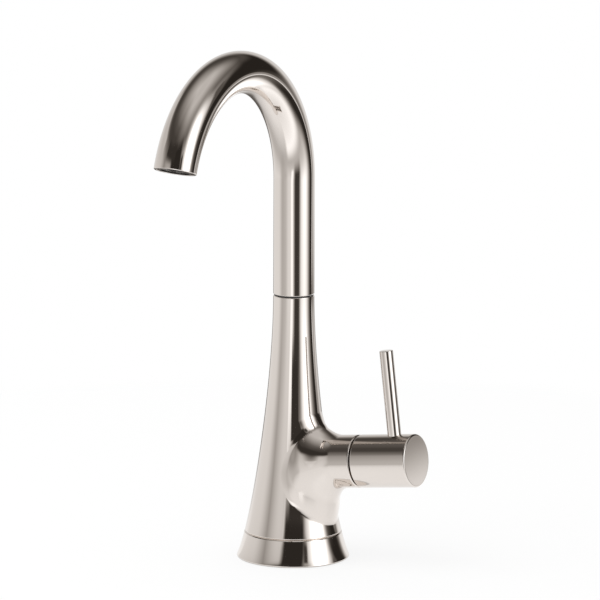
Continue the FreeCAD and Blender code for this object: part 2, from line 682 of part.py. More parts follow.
def make_inlet_washer():
    return ring(shank_r - INLET_WASHER_SETBACK, shank_bore_r, nipple_hex_top, -SHANK_DROP)


def make_inlet_screen():
    """Perforated disc with a raised rim, in the nipple's counterbore."""
    radius = nipple_r - SCREEN_WALL - THREAD_CLEARANCE
    low = nipple_top - SCREEN_DEPTH
    mesh_r = radius - SCREEN_RIM
    disc = ring(radius, mesh_r, low, nipple_top).fuse(rod(mesh_r, low, low + SCREEN_T))
    return disc.cut(perforations(mesh_r, SCREEN_HOLE_DIA, SCREEN_PITCH, low, low + SCREEN_T))


PIECES = {
    "base_ring": make_base_ring(),
    "deck_gasket": make_deck_gasket(),
    "column": make_column(),
    "mounting_shank": make_mounting_shank(),
    "shank_seal": make_shank_seal(),
    "inlet_nipple": make_inlet_nipple(),
    "inlet_washer": make_inlet_washer(),
    "inlet_screen": make_inlet_screen(),
    "cartridge_seal": make_cartridge_seal(),
    "cartridge_body": make_cartridge_body(),
    "cartridge_o_ring": make_cartridge_o_ring(),
    "fixed_disc": make_fixed_disc(),
    "bonnet_nut": make_bonnet_nut(),
    "spout_grub_screw": make_spout_grub_screw(),
    "glide_ring": make_glide_ring(),
    "spout_tube": make_spout_tube(),
    "spout_spigot": make_spout_spigot(),
    "spout_o_ring_lower": make_spout_o_ring(O_RING_LOW),
    "spout_o_ring_upper": make_spout_o_ring(O_RING_HIGH),
    "aerator_housing": make_aerator_housing(),
    "flow_straightener": make_flow_straightener(),
    "aerator_washer": make_aerator_washer(),
    "handle_hub": make_handle_hub(),
    "lever_rod": make_lever_rod(),
    "handle_set_screw": make_handle_set_screw(),
    "valve_stem": make_valve_stem(),
    "moving_disc": make_moving_disc(),
    "stem_o_ring": make_stem_o_ring(),
    "thrust_washer": make_thrust_washer(),
    "stem_clip": make_stem_clip(),
    "rubber_washer": make_rubber_washer(),
    "clamp_washer": make_clamp_washer(),
    "mounting_nut": make_mounting_nut(),
}

os.makedirs("parts", exist_ok=True)
for name, shape in PIECES.items():
    shape.exportStep(f"parts/{name}.step")
    print(name, "solids", len(shape.Solids), "valid", shape.isValid(), "volume", round(shape.Volume, 1))
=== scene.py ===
"""Looks of a cold water dispenser faucet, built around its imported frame.

Polished nickel above the deck, turned brass, rubber and steel below it, in a small white studio.
Metres, +Z up, origin on the deck at the column's axis. The spout points to -Y, the lever to +X.
"""

from __future__ import annotations

import json
import logging
import math
from dataclasses import dataclass, field
from enum import Enum
from typing import Any, Callable, Sequence

import bpy
import numpy as np
from mathutils import Matrix, Vector

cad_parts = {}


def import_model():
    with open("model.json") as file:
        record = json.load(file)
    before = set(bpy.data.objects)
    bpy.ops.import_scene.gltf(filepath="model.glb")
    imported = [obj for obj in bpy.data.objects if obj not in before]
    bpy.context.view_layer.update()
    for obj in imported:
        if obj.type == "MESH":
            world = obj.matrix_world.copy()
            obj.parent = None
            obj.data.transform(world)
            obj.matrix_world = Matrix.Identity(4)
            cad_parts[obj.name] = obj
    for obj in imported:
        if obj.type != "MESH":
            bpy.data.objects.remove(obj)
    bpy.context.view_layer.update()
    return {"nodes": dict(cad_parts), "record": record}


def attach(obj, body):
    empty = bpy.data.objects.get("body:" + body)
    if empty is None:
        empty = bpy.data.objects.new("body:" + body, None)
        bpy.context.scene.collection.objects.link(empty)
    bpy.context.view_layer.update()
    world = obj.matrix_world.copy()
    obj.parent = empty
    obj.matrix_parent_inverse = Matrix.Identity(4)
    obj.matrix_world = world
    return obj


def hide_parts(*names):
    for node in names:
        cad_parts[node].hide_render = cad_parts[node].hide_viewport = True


LOG = logging.getLogger("faucet")
MM = 0.001
TAU = 2 * math.pi
ARC_POINTS = 7  # points of a rounded corner
EDGE_POINTS = 1441  # points in the table of an opening's edge
SAME_PLACE = 1e-9  # points that lie closer than this are one
ROUND_OFF = 1e-6  # share of a step by which a stretch may be longer
Colour = tuple[float, float, float]
Number = float | np.ndarray
Pair = tuple[np.ndarray, np.ndarray]
Surface = Callable[[np.ndarray, Number], Pair]


class Slot(str, Enum):
    """The record's material slots."""

    NICKEL = "polished_nickel"
    BRASS = "brass"
    RUBBER = "black_rubber"
    DARK_ACETAL = "dark_acetal"
    WHITE_ACETAL = "white_acetal"
    CERAMIC = "ceramic"
    STEEL = "stainless_steel"


class Body(str, Enum):
    """The frame's bodies that carry pieces made here."""

    COLUMN = "column"
    SPOUT = "spout"
    HANDLE = "handle"


Materials = dict[Slot, bpy.types.Material]


def operator(operation: str, swapped: bool = False) -> Callable[[Value, Value | float], Value]:
    """Make a method of Value that adds a Math node.

    Args:
        operation: The Math node's operation.
        swapped: Whether the other operand stands on the left.

    Returns:
        The method.
    """

    def method(self: Value, other: Value | float) -> Value:
        """Math node on the two operands."""
        return self.graph.math(operation, *((other, self) if swapped else (self, other)))

    return method


class Value:
    """A node's output that takes part in Python arithmetic."""

    __add__, __radd__ = operator("ADD"), operator("ADD", swapped=True)
    __sub__, __rsub__ = operator("SUBTRACT"), operator("SUBTRACT", swapped=True)
    __mul__, __rmul__ = operator("MULTIPLY"), operator("MULTIPLY", swapped=True)
    __truediv__, __rtruediv__ = operator("DIVIDE"), operator("DIVIDE", swapped=True)

    def __init__(self, graph: Graph, socket: bpy.types.NodeSocket) -> None:
        """Keep the socket and the graph that it belongs to."""
        self.graph = graph
        self.socket = socket


class Graph:
    """A node tree that is written as expressions."""

    def __init__(self, tree: bpy.types.NodeTree) -> None:
        """Keep the tree, emptied of its default nodes."""
        self.tree = tree
        tree.nodes.clear()

    def add(
        self,
        kind: str,
        settings: dict[str, Any] | None = None,
        inputs: dict[str | int, Any] | None = None,
        output: str | int = 0,
    ) -> Value:
        """Add a node.

        Args:
            kind: The node's type.
            settings: Properties of the node; "stops" holds a ramp's (place, grey) pairs.
            inputs: Values or links, by the socket's name or number.
            output: The socket that is returned.

        Returns:
            The chosen output, or the first input of an end node, which has no output.
        """
        node = self.tree.nodes.new(kind)
        for name, setting in (settings or {}).items():
            if name == "stops":
                self._set_stops(node.color_ramp, setting)
            else:
                setattr(node, name, setting)
        for key, value in (inputs or {}).items():
            if isinstance(value, Value):
                self.tree.links.new(value.socket, node.inputs[key])
            else:
                node.inputs[key].default_value = value
        return Value(self, node.outputs[output] if len(node.outputs) else node.inputs[0])

    @staticmethod
    def _set_stops(ramp: bpy.types.ColorRamp, stops: Sequence[tuple[float, float]]) -> None:
        """Replace a ramp's stops with grey ones.

        Args:
            ramp: The node's ramp.
            stops: (place, grey) pairs in order.
        """
        while len(ramp.elements) < len(stops):
            ramp.elements.new(1.0)
        for element, (place, grey) in zip(ramp.elements, stops):
            element.position = place
            element.color = (grey, grey, grey, 1.0)

    def math(self, operation: str, *values: Value | float) -> Value:
        """Add a Math node on one to three values."""
        return self.add("ShaderNodeMath", {"operation": operation}, dict(enumerate(values)))

    def mix(self, factor: Value | float, low: Colour, high: Colour) -> Value:
        """Mix two colours, by the numbers of the Mix node's colour sockets."""
        inputs = {0: factor, 6: (*low, 1.0), 7: (*high, 1.0)}
        return self.add("ShaderNodeMix", {"data_type": "RGBA"}, inputs, 2)

    def split(self, vector: Value) -> tuple[Value, Value, Value]:
        """The three numbers of a vector."""
        node = self.add("ShaderNodeSeparateXYZ", None, {0: vector}).socket.node
        return tuple(Value(self, socket) for socket in node.outputs)

    def reach(self, x: Value, y: Value) -> Value:
        """Distance from the Z axis."""
        return self.math("SQRT", x * x + y * y)

    def clamp(self, value: Value) -> Value:
        """The value, kept between 0 and 1."""
        return self.math("MINIMUM", self.math("MAXIMUM", value, 0.0), 1.0)

    def ease(self, value: Value, start: float, end: float) -> Value:
        """Smooth step from 0 at start to 1 at end."""
        inputs = {"Value": value, "From Min": start, "From Max": end}
        return self.add("ShaderNodeMapRange", {"interpolation_type": "SMOOTHSTEP"}, inputs)

    def noise(self, place: Value, scale: float, detail: float = 3.0) -> Value:
        """Noise between 0 and 1."""
        return self.add("ShaderNodeTexNoise", None, {"Vector": place, "Scale": scale, "Detail": detail})

    def colour(self, red: Value, green: Value, blue: Value) -> Value:
        """A colour from its three parts."""
        return self.add("ShaderNodeCombineColor", None, {"Red": red, "Green": green, "Blue": blue})


def blank_material(name: str) -> tuple[bpy.types.Material, Graph]:
    """Make a material with an empty graph.

    Args:
        name: The material's name.

    Returns:
        The material and its graph.
    """
    made = bpy.data.materials.new(name)
    made.use_nodes = True
    return made, Graph(made.node_tree)


def put(name: str, data: bpy.types.ID) -> bpy.types.Object:
    """Make an object and link it to the scene.

    Args:
        name: The object's name.
        data: Its mesh, camera or light.

    Returns:
        The object, at the origin.
    """
    made = bpy.data.objects.new(name, data)
    bpy.context.scene.collection.objects.link(made)
    return made


@dataclass(frozen=True)
class Finish:
    """A finish: its material's name, mean colour and shader numbers."""

    name: str
    colour: Colour
    roughness: float
    metallic: float = 0.0
    bump: float = 0.0
    bump_height: float = 0.1 * MM
    tones: tuple[float, float] = (0.9, 1.1)
    cloud_scale: float = 90.0
    grain_scale: float = 2600.0
    spread: float = 0.16

    def material(self) -> bpy.types.Material:
        """Make the finish's material.

        Returns:
            A material with a shaded colour, roughness and, where the finish has one, a bump.
        """
        made, graph = blank_material(self.name)
        place = graph.add("ShaderNodeTexCoord", output="Object")
        colour, roughness, height = self.shading(graph, place)
        inputs = {"Base Color": colour, "Roughness": roughness, "Metallic": self.metallic}
        if height is not None:
            relief = {"Strength": self.bump, "Distance": self.bump_height, "Height": height}
            inputs["Normal"] = graph.add("ShaderNodeBump", None, relief)
        shader = graph.add("ShaderNodeBsdfPrincipled", None, inputs)
        graph.add("ShaderNodeOutputMaterial", None, {"Surface": shader})
        return made

    def mottle(self, graph: Graph, share: Value) -> Value:
        """Colour between the finish's dark and light tones."""
        low, high = (tuple(min(1.0, part * tone) for part in self.colour) for tone in self.tones)
        return graph.mix(share, low, high)

    def shading(self, graph: Graph, place: Value) -> tuple[Value, Value, Value | None]:
        """Colour, roughness and height over the surface.

        Args:
            graph: The material's graph.
            place: Object coordinates.

        Returns:
            Colour, roughness, and height or None.
        """
        cloud = graph.noise(place, self.cloud_scale)
        grain = graph.noise(place, self.grain_scale, detail=2.0)
        return self.mottle(graph, cloud), self.roughness + (grain - 0.5) * self.spread, grain


@dataclass(frozen=True)
class PolishedNickel(Finish):
    """Mirror-polished nickel plating, with the faint haze that a polishing mop leaves."""

    tones: tuple[float, float] = (0.985, 1.015)
    cloud_scale: float = 38.0
    grain_scale: float = 420.0
    spread: float = 0.03

    def shading(self, graph: Graph, place: Value) -> tuple[Value, Value, Value | None]:
        """Nearly even colour and a roughness that drifts with the haze.

        Args:
            graph: The material's graph.
            place: Object coordinates.

        Returns:
            Colour, roughness, and no height.
        """
        cloud = graph.noise(place, self.cloud_scale)
        mop = graph.noise(place, self.grain_scale, detail=4.0)
        return self.mottle(graph, cloud), self.roughness + cloud * mop * self.spread, None


@dataclass(frozen=True)
class TurnedMetal(Finish):
    """Machined metal with fine rings that the lathe tool leaves."""

    tones: tuple[float, float] = (0.82, 1.08)
    cloud_scale: float = 120.0
    spread: float = 0.14
    ring_spread: float = 0.05
    pitch: float = 0.35 * MM

    def shading(self, graph: Graph, place: Value) -> tuple[Value, Value, Value | None]:
        """Rings by height and radius, over slow tarnish.

        Args:
            graph: The material's graph.
            place: Object coordinates.

        Returns:
            Colour, roughness and the rings' height.
        """
        x, y, z = graph.split(place)
        rings = graph.math("SINE", (z + graph.reach(x, y)) * (TAU / self.pitch)) * 0.5 + 0.5
        tarnish = graph.noise(place, self.cloud_scale, detail=5.0)
        roughness = self.roughness + tarnish * self.spread + rings * self.ring_spread
        return self.mottle(graph, tarnish), roughness, rings


@dataclass(frozen=True)
class Placing:
    """A local frame: an origin and three axes, each an array of three."""

    origin: np.ndarray
    x: np.ndarray
    y: np.ndarray
    z: np.ndarray

    def point(self, radius: Number, angle: np.ndarray, height: Number) -> np.ndarray:
        """Points given by radius, angle and height about the local Z."""
        across = self.direction(np.cos(angle), np.sin(angle), 0.0)
        return self.origin + across * np.asarray(radius)[..., None] + self.z * np.asarray(height)[..., None]

    def direction(self, x: Number, y: Number, z: Number) -> np.ndarray:
        """Directions from their local parts."""
        parts = ((x, self.x), (y, self.y), (z, self.z))
        return sum(np.asarray(part)[..., None] * axis for part, axis in parts)

    def turned(self, normal: np.ndarray, angle: np.ndarray) -> np.ndarray:
        """An outline's normal, turned to angles about the local Z."""
        return self.direction(normal[0] * np.cos(angle), normal[0] * np.sin(angle), normal[1])


UPRIGHT = Placing(np.zeros(3), *np.eye(3))


@dataclass
class Stretch:
    """Part of a turned outline: (radius, height) points and their outward normals, in order."""

    points: np.ndarray
    normals: np.ndarray


def circle(count: int) -> np.ndarray:
    """Angles of points that are spaced evenly round a circle."""
    return np.arange(count) * TAU / count


def unit(vector: np.ndarray) -> np.ndarray:
    """The vector at length 1."""
    return vector / np.linalg.norm(vector)


def straight(start: np.ndarray, end: np.ndarray, step: float) -> Stretch:
    """Straight stretch, with the solid on the left of its travel.

    Args:
        start: First (radius, height).
        end: Last (radius, height).
        step: Longest distance between two points.

    Returns:
        The stretch.
    """
    run = end - start
    length = float(np.hypot(*run))
    count = max(1, math.ceil(length / step - ROUND_OFF))
    share = np.linspace(0, 1, count + 1)[:, None]
    normal = np.array([run[1], -run[0]]) / length
    return Stretch(start + share * run, np.repeat(normal[None], count + 1, 0))


def corner_arc(before: np.ndarray, corner: np.ndarray, after: np.ndarray, radius: float) -> Stretch:
    """Arc that rounds a corner.

    Args:
        before: Unit direction of travel into the corner.
        corner: The sharp corner.
        after: Unit direction of travel out of it.
        radius: Radius of the arc.

    Returns:
        The arc as a stretch.
    """
    turn = math.atan2(before[0] * after[1] - before[1] * after[0], float(before @ after))
    side = math.copysign(1.0, turn)
    normal = np.array([before[1], -before[0]])
    centre = corner - before * radius * math.tan(abs(turn) / 2) - side * radius * normal
    angles = np.linspace(0, turn, ARC_POINTS)
    cosine, sine = np.cos(angles), np.sin(angles)
    normals = np.stack([cosine * normal[0] - sine * normal[1], sine * normal[0] + cosine * normal[1]], 1)
    return Stretch(centre + side * radius * normals, normals)


def outline(
    corners: Sequence[tuple[float, ...]], step: float = math.inf, closed: bool = False
) -> list[Stretch]:
    """Straight stretches between corners, with an arc at each rounded corner.

    Args:
        corners: (radius, height) of each corner and, where it is rounded, the arc's radius, in an
            order that has the solid on the left.
        step: Longest distance between two points of a straight stretch.
        closed: Whether the last corner is joined to the first.

    Returns:
        The stretches in order.
    """
    places = [np.array(corner[:2]) for corner in corners]
    count = len(places)
    arcs: list[Stretch] = []
    for k, (place, (_, _, *rounding)) in enumerate(zip(places, corners)):
        if rounding:
            before = unit(place - places[k - 1])
            after = unit(places[(k + 1) % count] - place)
            arcs.append(corner_arc(before, place, after, rounding[0]))
        else:
            arcs.append(Stretch(place[None], np.zeros((1, 2))))
    made: list[Stretch] = []
    for k, arc in enumerate(arcs):
        if len(arc.points) > 1:
            made.append(arc)
        if closed or k + 1 < count:
            made.append(straight(arc.points[-1], arcs[(k + 1) % count].points[0], step))
    return made


@dataclass
class Port:
    """Opening in a turned wall.

    The window is counted in the wall's columns and rows; the edge gives (angle, height) for a turn.
    """

    columns: tuple[int, int]
    rows: tuple[int, int]
    edge: Callable[[np.ndarray], Pair]
    rings: int

    def holds(self, row: int, column: int, segments: int) -> bool:
        """Whether a cell of a wall with so many columns lies in the window."""
        width = self.columns[1] - self.columns[0]
        return self.rows[0] <= row < self.rows[1] and (column - self.columns[0]) % segments < width


@dataclass
class Skin:
    """Points, faces and corner normals of a mesh in the making."""

    points: list[np.ndarray] = field(default_factory=list)
    faces: list[tuple[int, ...]] = field(default_factory=list)
    normals: list[np.ndarray] = field(default_factory=list)

    def ring(self, points: np.ndarray) -> np.ndarray:
        """Add a ring of points, which become one where they meet at a pole.

        Args:
            points: The points in order.

        Returns:
            Their numbers.
        """
        first = len(self.points)
        if np.ptp(points, axis=0).max() < SAME_PLACE:
            self.points.append(points[0])
            return np.full(len(points), first)
        self.points.extend(points)
        return np.arange(first, first + len(points))

    def strip(
        self, low: np.ndarray, high: np.ndarray, low_normals: np.ndarray, high_normals: np.ndarray
    ) -> None:
        """Add the faces between two closed rings of equal count.

        Args:
            low: Numbers of the first ring.
            high: Numbers of the second ring.
            low_normals: Normals of the faces' corners on the first ring.
            high_normals: Normals of their corners on the second ring.
        """
        count = len(low)
        for j in range(count):
            k = (j + 1) % count
            numbers = (low[j], low[k], high[k], high[j])
            self.face(numbers, (low_normals[j], low_normals[k], high_normals[k], high_normals[j]))

    def face(self, numbers: Sequence[int], normals: Sequence[np.ndarray]) -> None:
        """Add a face, without the corners that a pole makes double.

        Args:
            numbers: The corners' points.
            normals: The corners' normals.
        """
        kept = [k for k in range(len(numbers)) if numbers[k] != numbers[k - 1]]
        if len(kept) > 2:
            self.faces.append(tuple(int(numbers[k]) for k in kept))
            self.normals.extend(normals[k] for k in kept)

    def spin(
        self,
        stretches: Sequence[Stretch],
        placing: Placing,
        angles: np.ndarray,
        first: np.ndarray | None = None,
        last: np.ndarray | None = None,
        closed: bool = False,
    ) -> None:
        """Turn an outline about the local Z.

        Args:
            stretches: The outline, in order.
            placing: The local frame.
            angles: Angles of the points round the axis.
            first: Ring to start from, where the outline goes on from other faces.
            last: Ring to end on, where other faces go on from the outline.
            closed: Whether the outline ends where it began.
        """
        radius, height = stretches[0].points[0]
        ring = self.ring(placing.point(radius, angles, height)) if first is None else first
        end = ring if closed else last
        steps = [(stretch, k) for stretch in stretches for k in range(1, len(stretch.points))]
        for number, (stretch, k) in enumerate(steps, 1):
            radius, height = stretch.points[k]
            ends = number == len(steps) and end is not None
            after = end if ends else self.ring(placing.point(radius, angles, height))
            low, high = (placing.turned(normal, angles) for normal in stretch.normals[k - 1:k + 1])
            self.strip(ring, after, low, high)
            ring = after

    def wall(
        self, surface: Surface, heights: np.ndarray, segments: int, ports: Sequence[Port]
    ) -> tuple[np.ndarray, np.ndarray, list[Pair]]:
        """Turned wall with openings.

        Args:
            surface: Points and normals for angles and heights.
            heights: The rows' heights.
            segments: Columns around the axis.
            ports: The openings.

        Returns:
            The lowest ring, the highest ring, and each opening's edge as its ring and turns.
        """
        grid, normals = [], []
        for height in heights:
            points, around = surface(circle(segments), height)
            grid.append(self.ring(points))
            normals.append(around)
        for i in range(len(heights) - 1):
            for j in range(segments):
                if any(port.holds(i, j, segments) for port in ports):
                    continue
                cell = ((i, j), (i, (j + 1) % segments), (i + 1, (j + 1) % segments), (i + 1, j))
                self.face([grid[row][column] for row, column in cell],
                          [normals[row][column] for row, column in cell])
        edges = [self._open(port, surface, heights, segments, grid) for port in ports]
        return grid[0], grid[-1], edges

    def _open(
        self, port: Port, surface: Surface, heights: np.ndarray, segments: int, grid: Sequence[np.ndarray]
    ) -> Pair:
        """Join a window's border to its opening's edge by rings of faces.

        Args:
            port: The opening.
            surface: Points and normals for angles and heights.
            heights: The wall's rows.
            segments: The wall's columns.
            grid: Numbers of the wall's points, by row and column.

        Returns:
            The edge's ring and the turn of each of its points.
        """
        (left, right), (low, high) = port.columns, port.rows
        border = [(low, j) for j in range(left, right)]
        border += [(i, right) for i in range(low, high)]
        border += [(high, j) for j in range(right, left, -1)]
        border += [(i, left) for i in range(high, low, -1)]
        ring = np.array([grid[i][j % segments] for i, j in border])
        angle = np.array([j * TAU / segments for _, j in border])
        height = np.array([heights[i] for i, _ in border])
        middle_angle = (left + right) / 2 * TAU / segments
        middle_height = (heights[low] + heights[high]) / 2
        nudge = 0.01
        near, _ = surface(np.array([middle_angle, middle_angle + nudge]), middle_height)
        reach = float(np.linalg.norm(near[1] - near[0])) / nudge

        def bearing(a: np.ndarray, h: np.ndarray) -> np.ndarray:
            """Direction from the window's middle, on the unrolled wall."""
            return np.unwrap(np.arctan2(h - middle_height, (a - middle_angle) * reach))

        table = np.linspace(0, TAU, EDGE_POINTS)
        seen = bearing(*port.edge(table))
        wanted = seen[0] + np.mod(bearing(angle, height) - seen[0], TAU)
        turns = np.interp(wanted, seen, table)
        edge_angle, edge_height = port.edge(turns)
        _, normals = surface(angle, height)
        for k in range(1, port.rings + 1):
            share = k / port.rings
            points, after_normals = surface(angle + (edge_angle - angle) * share,
                                            height + (edge_height - height) * share)
            after = self.ring(points)
            self.strip(ring, after, normals, after_normals)
            ring, normals = after, after_normals
        return ring, turns

    def build(self, name: str) -> bpy.types.Object:
        """Make the object, smooth-shaded with its own normals.

        Args:
            name: The piece's name.

        Returns:
            The linked object.
        """
        mesh = bpy.data.meshes.new(name)
        mesh.from_pydata([tuple(point) for point in self.points], [], self.faces)
        mesh.shade_smooth()
        mesh.validate()
        mesh.normals_split_custom_set([tuple(normal) for normal in self.normals])
        return put(name, mesh)


class ShapeTree:
    """A Geometry Nodes tree that moves a mesh's points and is then turned into a plain mesh."""

    def __init__(self, name: str, sizes: dict[str, float]) -> None:
        """Make the tree.

        Args:
            name: The tree's name.
            sizes: The sizes that become its named inputs.
        """
        self.tree = bpy.data.node_groups.new(name, "GeometryNodeTree")
        self.graph = Graph(self.tree)
        self.sizes = sizes
        sockets = [("Geometry", "INPUT", "NodeSocketGeometry")]
        sockets += [(label, "INPUT", "NodeSocketFloat") for label in sizes]
        sockets += [("Material", "INPUT", "NodeSocketMaterial"), ("Geometry", "OUTPUT", "NodeSocketGeometry")]
        for label, way, kind in sockets:
            self.tree.interface.new_socket(label, in_out=way, socket_type=kind)
        self.group = self.tree.nodes.new("NodeGroupInput")

    def given(self, label: str) -> Value:
        """One of the tree's inputs as a value."""
        return Value(self.graph, self.group.outputs[label])

    def place(self) -> tuple[Value, Value, Value]:
        """The point's place as three values."""
        return self.graph.split(self.graph.add("GeometryNodeInputPosition"))

    def move(self, x: Value, y: Value, z: Value) -> None:
        """Finish the tree with the points' new places.

        Args:
            x: New X.
            y: New Y.
            z: New Z.
        """
        where = self.graph.add("ShaderNodeCombineXYZ", None, {"X": x, "Y": y, "Z": z})
        made = self.given("Geometry")
        for kind, inputs in (
            ("GeometryNodeSetPosition", {"Position": where}),
            ("GeometryNodeRealizeInstances", {}),
            ("GeometryNodeSetMaterial", {"Material": self.given("Material")}),
            ("NodeGroupOutput", {}),
        ):
            made = self.graph.add(kind, None, {"Geometry": made, **inputs})

    def apply(self, piece: bpy.types.Object, material: bpy.types.Material) -> bpy.types.Object:
        """Run the tree on a piece and keep the result as its mesh.

        Args:
            piece: The object with the plain mesh.
            material: The material that the tree sets.

        Returns:
            The same object, with no modifier left.
        """
        values = {**self.sizes, "Material": material}
        modifier = piece.modifiers.new("shape", "NODES")
        modifier.node_group = self.tree
        for socket in self.tree.interface.items_tree:
            if socket.in_out == "INPUT" and socket.name in values:
                modifier[socket.identifier] = values[socket.name]
        seen = piece.evaluated_get(bpy.context.evaluated_depsgraph_get())
        mesh = bpy.data.meshes.new_from_object(seen)
        piece.modifiers.clear()
        piece.data = mesh
        return piece


@dataclass
class Flare:
    """Outline of the column and its foot: one Bezier curve from the deck to the swivel seam."""

    foot_radius: float = 31.0 * MM
    neck_radius: float = 11.1 * MM
    top: float = 143.9 * MM
    foot_lean: float = 7.7 * MM
    foot_rise: float = 15.0 * MM
    neck_rise: float = 50.0 * MM
    halvings: int = 50

    def profile(self, height: Number) -> tuple[Number, Number]:
        """Radius and its slope at heights.

        Args:
            height: Heights above the deck.

        Returns:
            The radii and their change with height.
        """
        radii = (self.foot_radius, self.foot_radius - self.foot_lean, self.neck_radius, self.neck_radius)
        levels = (0.0, self.foot_rise, self.top - self.neck_rise, self.top)
        low = np.zeros_like(height)
        high = np.ones_like(height)
        for _ in range(self.halvings):
            middle = (low + high) / 2
            under = self._bezier(levels, middle) < height
            low = np.where(under, middle, low)
            high = np.where(under, high, middle)
        return self._bezier(radii, high), self._change(radii, high) / self._change(levels, high)

    @staticmethod
    def _bezier(poles: Sequence[float], t: Number) -> Number:
        """Cubic Bezier value."""
        s = 1 - t
        return s**3 * poles[0] + 3 * s * s * t * poles[1] + 3 * s * t * t * poles[2] + t**3 * poles[3]

    @staticmethod
    def _change(poles: Sequence[float], t: Number) -> Number:
        """Cubic Bezier derivative."""
        s, steps = 1 - t, np.diff(poles)
        return 3 * (s * s * steps[0] + 2 * s * t * steps[1] + t * t * steps[2])

    def surface(self, angle: np.ndarray, height: Number) -> Pair:
        """Turned wall.

        Args:
            angle: Angles about the column's axis.
            height: Heights above the deck.

        Returns:
            Points and their outward normals.
        """
        radius, slope = self.profile(height)
        size = np.sqrt(1 + slope * slope)
        normals = UPRIGHT.direction(np.cos(angle) / size, np.sin(angle) / size, -slope / size)
        return UPRIGHT.point(radius, angle, height), normals

    def distance(self, points: np.ndarray) -> np.ndarray:
        """Distance of points from the wall, negative inside."""
        radius, slope = self.profile(points[..., 2])
        return (np.hypot(points[..., 0], points[..., 1]) - radius) / np.sqrt(1 + slope * slope)

    def stretch(self, low: float, high: float, step: float) -> Stretch:
        """The wall between two heights as a stretch.

        Args:
            low: Lowest height.
            high: Highest height.
            step: About the distance between two points.

        Returns:
            The stretch, going up.
        """
        heights = np.linspace(low, high, max(2, round((high - low) / step)))
        radius, slope = self.profile(heights)
        size = np.sqrt(1 + slope * slope)
        return Stretch(np.stack([radius, heights], 1), np.stack([1 / size, -slope / size], 1))

    def travel(self, height: float) -> np.ndarray:
        """Unit direction of travel up the wall at a height."""
        return unit(np.array([self.profile(height)[1], 1.0]))

    def corner(self, height: float) -> np.ndarray:
        """(radius, height) of the wall at a height."""
        return np.array([self.profile(height)[0], height])


@dataclass
class HubAxis:
    """Axis of the arm and the handle hub, tilted up from the column."""

    height: float = 51.9 * MM
    tilt: float = math.radians(6.7)
    radius: float = 14.3 * MM

    def placing(self) -> Placing:
        """Local frame of the axis.

        Returns:
            A frame with Z along the axis, X up the lever and Y to the front.
        """
        cosine, sine = math.cos(self.tilt), math.sin(self.tilt)
        return Placing(
            np.array([0.0, 0.0, self.height]),
            np.array([-sine, 0.0, cosine]),
            np.array([0.0, -1.0, 0.0]),
            np.array([cosine, 0.0, sine]),
        )

    def distance(self, points: np.ndarray, start: float) -> np.ndarray:
        """Distance of points from a round arm on the axis.

        Args:
            points: The points.
            start: The place along the axis where the arm begins.

        Returns:
            The distances, negative inside.
        """
        placing = self.placing()
        local = points - placing.origin
        beside = np.hypot(local @ placing.x, local @ placing.y) - self.radius
        before = start - local @ placing.z
        outside = np.hypot(np.maximum(beside, 0), np.maximum(before, 0))
        return outside + np.minimum(np.maximum(beside, before), 0)


@dataclass
class Bulge:
    """Upright egg-shaped bulge that the arm grows from."""

    offset: float = 6.65 * MM
    height: float = 37.65 * MM
    radius: float = 19.9 * MM
    half_height: float = 40.75 * MM

    def distance(self, points: np.ndarray) -> np.ndarray:
        """Distance of points from the bulge.

        Args:
            points: The points.

        Returns:
            The distances, true near the surface and negative inside.
        """
        size = np.array([self.radius, self.radius, self.half_height])
        local = (points - np.array([self.offset, 0.0, self.height])) / size
        reach = np.linalg.norm(local, axis=-1)
        return reach * (reach - 1) / np.linalg.norm(local / size, axis=-1)


def joined(first: np.ndarray, second: np.ndarray, fillet: Number) -> np.ndarray:
    """Distance from two bodies that are joined by a fillet, from the distances to each."""
    gaps = np.hypot(np.maximum(fillet - first, 0), np.maximum(fillet - second, 0))
    return np.maximum(fillet, np.minimum(first, second)) - gaps


class Assembly:
    """Sub-assembly whose pieces ride on one body and stand for CAD nodes."""

    body: Body
    slot: Slot = Slot.NICKEL

    def make(self, materials: Materials) -> None:
        """Build the sub-assembly's pieces and dress them."""
        raise NotImplementedError

    def dress(self, piece: bpy.types.Object, materials: Materials, node: str) -> None:
        """Give a piece its material, body and slot.

        Args:
            piece: The piece.
            materials: The finishes' materials.
            node: The CAD node that it stands for.
        """
        piece.data.materials.clear()
        piece.data.materials.append(materials[self.slot])
        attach(piece, self.body.value)
        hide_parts(node)
        LOG.info("%s: %d faces on %s", piece.name, len(piece.data.polygons), self.body.value)


